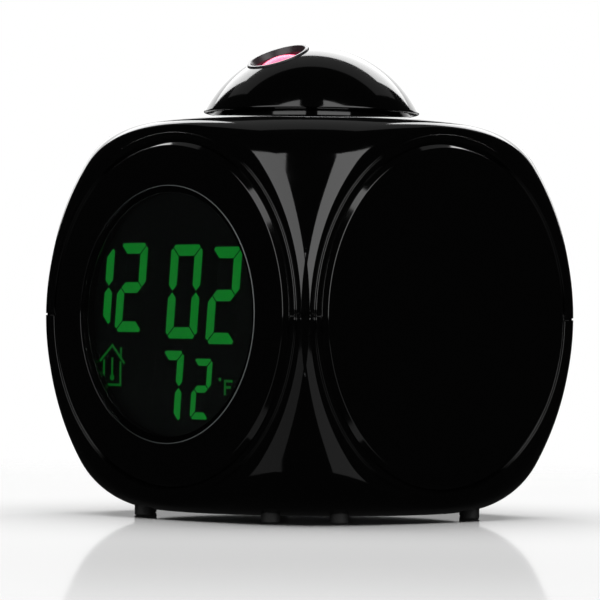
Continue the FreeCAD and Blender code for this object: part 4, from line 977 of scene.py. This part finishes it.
class CLOCK_OT_projector(bpy.types.Operator):
    """Make the lens bezel and the lit projector lens"""

    bl_idname = "clock.projector"
    bl_label = "Projector"

    def execute(self, context):
        dome = context.scene.clock_dome
        centre = (0, 0, context.scene.clock_body.equator_height + dome.centre_height)
        front = math.sqrt(dome.radius ** 2 - dome.bezel_radius ** 2) + dome.bezel_proud
        back = front - dome.bezel_height
        mesh = turned_mesh("lens_bezel_ring", self.bezel(dome, front, back), centre, projector_beam(dome))
        place("lens_bezel_ring", mesh, finish("satin bezel ABS"), DOME_BODY, ["lens_bezel"])
        skin = Skin()
        skin.add(turned_grid(self.lens(dome, back), centre, projector_beam(dome), LENS_SEGMENTS), ring=True)
        place("projector_lens_lit", skin.mesh("projector_lens_lit"), finish("lit acrylic lens"), DOME_BODY,
              ["projector_lens"])
        return {"FINISHED"}

    def bezel(self, dome, front, back):
        """The bezel's profile: a tube with a mouth that narrows to the lens."""
        seat = front - dome.bezel_seat
        bore = dome.lens_radius + dome.lens_gap
        return [(bore, back, 0), (dome.bezel_radius, back, SMALL_BREAK),
                (dome.bezel_radius, front, dome.bezel_rim_round),
                (dome.bezel_mouth, front, dome.bezel_lip_round), (dome.bezel_throat, seat, FINE_BREAK),
                (bore, seat, CRISP_BREAK), (bore, back, 0)]

    def lens(self, dome, back):
        """The lens's profile: a straight edge and a ball's cap, whose radius is (r r + h h) / (2 h)."""
        radius, bulge = dome.lens_radius, dome.lens_bulge
        ball = (radius ** 2 + bulge ** 2) / (2 * bulge)
        crown = back + dome.lens_edge + bulge
        angle = np.linspace(1, 0, LENS_RINGS) * math.asin(radius / ball)
        cap = np.stack([ball * np.sin(angle), crown - ball + ball * np.cos(angle)], axis=1)
        foot = [(0, back), (radius - SMALL_BREAK, back), (radius, back + SMALL_BREAK)]
        return np.concatenate([foot, cap])


FOOT_RADIUS = 2.0 * MM
FOOT_ROUND = 0.35 * MM
# The feet stand on this circle in pairs, this many degrees to either side of each corner's middle
FOOT_CIRCLE = 36.2 * MM
FOOT_SPREAD = 11.5


class CLOCK_OT_feet(bpy.types.Operator):
    """Make the eight small rubber feet, a pair at each corner"""

    bl_idname = "clock.feet"
    bl_label = "Feet"

    def execute(self, context):
        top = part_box("feet")[1][2]
        profile = softened([(0, 0, 0), (FOOT_RADIUS, 0, FOOT_ROUND), (FOOT_RADIUS, top, 0)])
        skin = Skin()
        for corner in (45, 135, 225, 315):
            for spread in (-FOOT_SPREAD, FOOT_SPREAD):
                turn = math.radians(corner + spread)
                origin = (FOOT_CIRCLE * math.cos(turn), FOOT_CIRCLE * math.sin(turn), 0)
                skin.add(turned_grid(profile, origin, UP, FOOT_SEGMENTS), ring=True)
        place("feet_rubber", skin.mesh("feet_rubber"), finish("moulded black rubber"), ROOT_BODY, ["feet"])
        return {"FINISHED"}


# A rear button's flange, shaft, rim and dish: radius, height from its top and rounding, in millimetres
BUTTON_PROFILE = ((0, -4.5, 0), (5.2, -4.5, 0.1), (5.2, -3.3, 0.1), (4.0, -3.3, 0.1), (4.0, 0, 0.4),
                  (3.1, 0, 0.5), (1.8, -0.25, 1.5), (0, -0.25, 0))


class CLOCK_OT_buttons(bpy.types.Operator):
    """Make the four dished rear buttons"""

    bl_idname = "clock.buttons"
    bl_label = "Rear buttons"

    def execute(self, context):
        for name in BUTTONS:
            low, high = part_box(name + "_button")
            top = ((low[0] + high[0]) / 2, high[1], (low[2] + high[2]) / 2)
            cap = name + "_button_cap"
            mesh = turned_mesh(cap, np.array(BUTTON_PROFILE) * MM, top, REAR, BUTTON_SEGMENTS)
            place(cap, mesh, gloss(), name + "_key", [name + "_button"])
        return {"FINISHED"}


PICTURE_PIXELS = 600
SENSOR_MM = 36.0
# Where the clock's axis meets the seam's level in the picture, in pixels from its upper left corner
AXIS_PIXEL = (309.4, 316.7)
# What little the surroundings themselves add to the clock
WORLD_GLIMMER = 0.01
DOME_PIECES = ("dome_skin", "lens_bezel_ring", "projector_lens_lit")
# Name, then metres to the camera's right, towards the camera and up, width and height of the box in metres,
# its lean over the clock in degrees, its radiance and the pieces that it lights, which are all but the floor
# where none is named
SOFTBOXES = (
    ("rear_low", 0.0, -0.975, 0.354, 1.3, 0.37, 28.0, 2.0, ()),
    ("rear_top_left", -0.4425, -0.773, 0.733, 0.415, 0.49, 28.0, 4.5, ()),
    ("rear_top_right", 0.4425, -0.773, 0.733, 0.415, 0.49, 28.0, 4.5, ()),
    ("rear_top_middle", 0.0, -0.773, 0.733, 0.47, 0.49, 28.0, 4.5, DOME_PIECES),
    ("ceiling", 0.0, -0.39, 0.76, 1.4, 0.4, 61.0, 0.18, ()),
    ("low_card", 0.0, -1.2, 0.2, 1.2, 0.4, 0.0, 0.95, ("floor",)),
    ("floor_top", 0.0, -0.1, 1.2, 1.6, 1.6, 85.0, 3.5, ("floor",)),
    ("front_left", -0.77, 0.717, 0.439, 1.26, 1.02, 38.0, 2.0, ()),
    ("front_right", 0.77, 0.717, 0.439, 1.26, 1.02, 38.0, 2.3, ()),
    ("low_left", -0.77, 0.62, -0.4, 1.26, 0.75, -35.0, 0.2, ()),
    ("low_right", 0.77, 0.62, -0.4, 1.26, 0.75, -35.0, 0.3, ()),
)


class CLOCK_OT_stage(bpy.types.Operator):
    """Set the camera, the floor, the soft lights and the pale surroundings"""

    bl_idname = "clock.stage"
    bl_label = "Stage"

    def execute(self, context):
        stage = context.scene.clock_stage
        self.camera(context, stage)
        self.floor(context, stage)
        for softbox in SOFTBOXES:
            self.lamp(context, stage, *softbox)
        self.world(context)
        context.scene.view_settings.view_transform = "Standard"
        return {"FINISHED"}

    def camera(self, context, stage):
        """The camera stands at the photograph's angle, and the clock's axis falls right of the middle."""
        a, e = stage.azimuth, stage.elevation
        back = Vector((math.sin(a) * math.cos(e), -math.cos(a) * math.cos(e), math.sin(e)))
        right = Vector((math.cos(a), math.sin(a), 0))
        up = back.cross(right)
        c, s = math.cos(stage.roll), math.sin(stage.roll)
        across = right * c + up * s
        upwards = right * -s + up * c
        pixel = stage.distance / (stage.focal / SENSOR_MM * PICTURE_PIXELS)
        shift_x, shift_y = (axis - PICTURE_PIXELS / 2 for axis in AXIS_PIXEL)
        middle = Vector((0, 0, context.scene.clock_body.equator_height))
        aim = middle - across * shift_x * pixel + upwards * shift_y * pixel
        data = bpy.data.cameras.new("photo_camera")
        data.lens = stage.focal
        data.sensor_width = SENSOR_MM
        data.clip_start = 10 * MM
        camera = bpy.data.objects.new("photo_camera", data)
        camera.matrix_world = Matrix((across, upwards, back)).transposed().to_4x4()
        camera.location = aim + back * stage.distance
        context.scene.collection.objects.link(camera)
        context.scene.camera = camera

    def floor(self, context, stage):
        """A level pale table top under the clock."""
        half = stage.floor_half
        mesh = bpy.data.meshes.new("floor")
        corners = [(-half, -half, 0), (half, -half, 0), (half, half, 0), (-half, half, 0)]
        mesh.from_pydata(corners, [], [(0, 1, 2, 3)])
        mesh.materials.append(self.laminate(stage))
        floor = bpy.data.objects.new("floor", mesh)
        context.scene.collection.objects.link(floor)
        floor.visible_glossy = False

    def laminate(self, stage):
        """Pale polished laminate: mostly diffuse, with a faint mirror image, fading out towards its edge."""
        material, add = blank_material("pale polished laminate")
        place_on = add("ShaderNodeTexCoord")
        away = add("ShaderNodeVectorMath", {"operation": "LENGTH"}, links={0: place_on.outputs["Object"]})
        fade = add("ShaderNodeMapRange", {"interpolation_type": "SMOOTHSTEP"},
                   {"From Min": stage.fade_start, "From Max": stage.floor_half},
                   {"Value": away.outputs["Value"]})
        matt = add("ShaderNodeBsdfDiffuse", inputs={"Color": (*stage.floor, 1)})
        shine = add("ShaderNodeBsdfGlossy", inputs={"Color": (1, 1, 1, 1), "Roughness": stage.floor_haze})
        mix = add("ShaderNodeMixShader", inputs={"Fac": stage.floor_shine},
                  links={1: matt.outputs[0], 2: shine.outputs[0]})
        clear = add("ShaderNodeBsdfTransparent")
        edge = add("ShaderNodeMixShader",
                   links={"Fac": fade.outputs["Result"], 1: mix.outputs[0], 2: clear.outputs[0]})
        add("ShaderNodeOutputMaterial", links={"Surface": edge.outputs[0]})
        return material

    def lamp(self, context, stage, name, across, forward, height, width, tall, lean, radiance, lit):
        """A soft box that faces the clock and stays out of the camera's sight.

        A tall white wall stands behind the clock and shows at the upper edges, two panels lean over the
        camera with a dark gap between them, and two dim ones below stand for the light off the table. The
        floor has lights of its own, so that its mirror shows none of the others.
        """
        ahead = np.array([math.sin(stage.azimuth), -math.cos(stage.azimuth), 0])
        right = np.array([math.cos(stage.azimuth), math.sin(stage.azimuth), 0])
        data = bpy.data.lights.new(name, "AREA")
        data.shape = "RECTANGLE"
        data.size, data.size_y = width, tall
        data.energy = math.pi * radiance * width * tall
        lamp = bpy.data.objects.new(name, data)
        tilt = math.radians(lean)
        shine = -math.copysign(1, forward) * ahead * math.cos(tilt) - np.array(UP) * math.sin(tilt)
        side = np.cross(shine, UP)
        side /= np.linalg.norm(side)
        axes = [Vector(side), Vector(np.cross(side, shine)), Vector(-shine)]
        lamp.matrix_world = Matrix(axes).transposed().to_4x4()
        lamp.location = right * across + ahead * forward + np.array(UP) * height
        lamp.visible_camera = False
        context.scene.collection.objects.link(lamp)
        receivers = bpy.data.collections.new(name + "_receivers")
        for piece in lit or ("floor",):
            receivers.objects.link(bpy.data.objects[piece])
        if not lit:
            receivers.collection_objects[0].light_linking.link_state = "EXCLUDE"
        lamp.light_linking.receiver_collection = receivers

    def world(self, context):
        """White for the camera, almost dark for other rays, so that only soft boxes show in the gloss."""
        world = bpy.data.worlds.new("studio")
        context.scene.world = world
        world.use_nodes = True
        world.node_tree.nodes.clear()
        add = node_setter(world)
        rays = add("ShaderNodeLightPath")
        white = add("ShaderNodeBackground", inputs={"Color": (1, 1, 1, 1), "Strength": 1.0})
        dim = add("ShaderNodeBackground", inputs={"Color": (*[WORLD_GLIMMER] * 3, 1), "Strength": 1.0})
        mix = add("ShaderNodeMixShader",
                  links={"Fac": rays.outputs["Is Camera Ray"], 1: dim.outputs[0], 2: white.outputs[0]})
        add("ShaderNodeOutputWorld", links={"Surface": mix.outputs[0]})


OPERATORS = (CLOCK_OT_inner_finishes, CLOCK_OT_shells, CLOCK_OT_panels, CLOCK_OT_window, CLOCK_OT_display,
             CLOCK_OT_dome, CLOCK_OT_projector, CLOCK_OT_feet, CLOCK_OT_buttons, CLOCK_OT_stage)
GROUPS = {"clock_body": CLOCK_PG_body, "clock_panels": CLOCK_PG_panels, "clock_dome": CLOCK_PG_dome,
          "clock_display": CLOCK_PG_display, "clock_finish": CLOCK_PG_finish, "clock_stage": CLOCK_PG_stage}


def plain(key):
    """A setting's key as a label in plain words."""
    return key.replace("_", " ").capitalize()


class CLOCK_PT_panel(bpy.types.Panel):
    """Lists the clock's pieces and their settings"""

    bl_idname = "CLOCK_PT_panel"
    bl_label = "Projection alarm clock"
    bl_space_type = "VIEW_3D"
    bl_region_type = "UI"
    bl_category = "Clock"

    def draw(self, context):
        for operator in OPERATORS:
            self.layout.operator(operator.bl_idname)
        for name in GROUPS:
            box = self.layout.box()
            box.label(text=plain(name))
            group = getattr(context.scene, name)
            for key in group.__annotations__:
                box.prop(group, key, text=plain(key))


def register():
    for group in GROUPS.values():
        bpy.utils.register_class(group)
    for name, group in GROUPS.items():
        setattr(bpy.types.Scene, name, PointerProperty(type=group))
    for operator in OPERATORS:
        bpy.utils.register_class(operator)
    bpy.utils.register_class(CLOCK_PT_panel)


def unregister():
    bpy.utils.unregister_class(CLOCK_PT_panel)
    for operator in reversed(OPERATORS):
        bpy.utils.unregister_class(operator)
    for name in GROUPS:
        delattr(bpy.types.Scene, name)
    for group in GROUPS.values():
        bpy.utils.unregister_class(group)


def main():
    register()
    for operator in OPERATORS:
        family, action = operator.bl_idname.split(".")
        getattr(getattr(bpy.ops, family), action)()


if __name__ == "__main__":
    main()
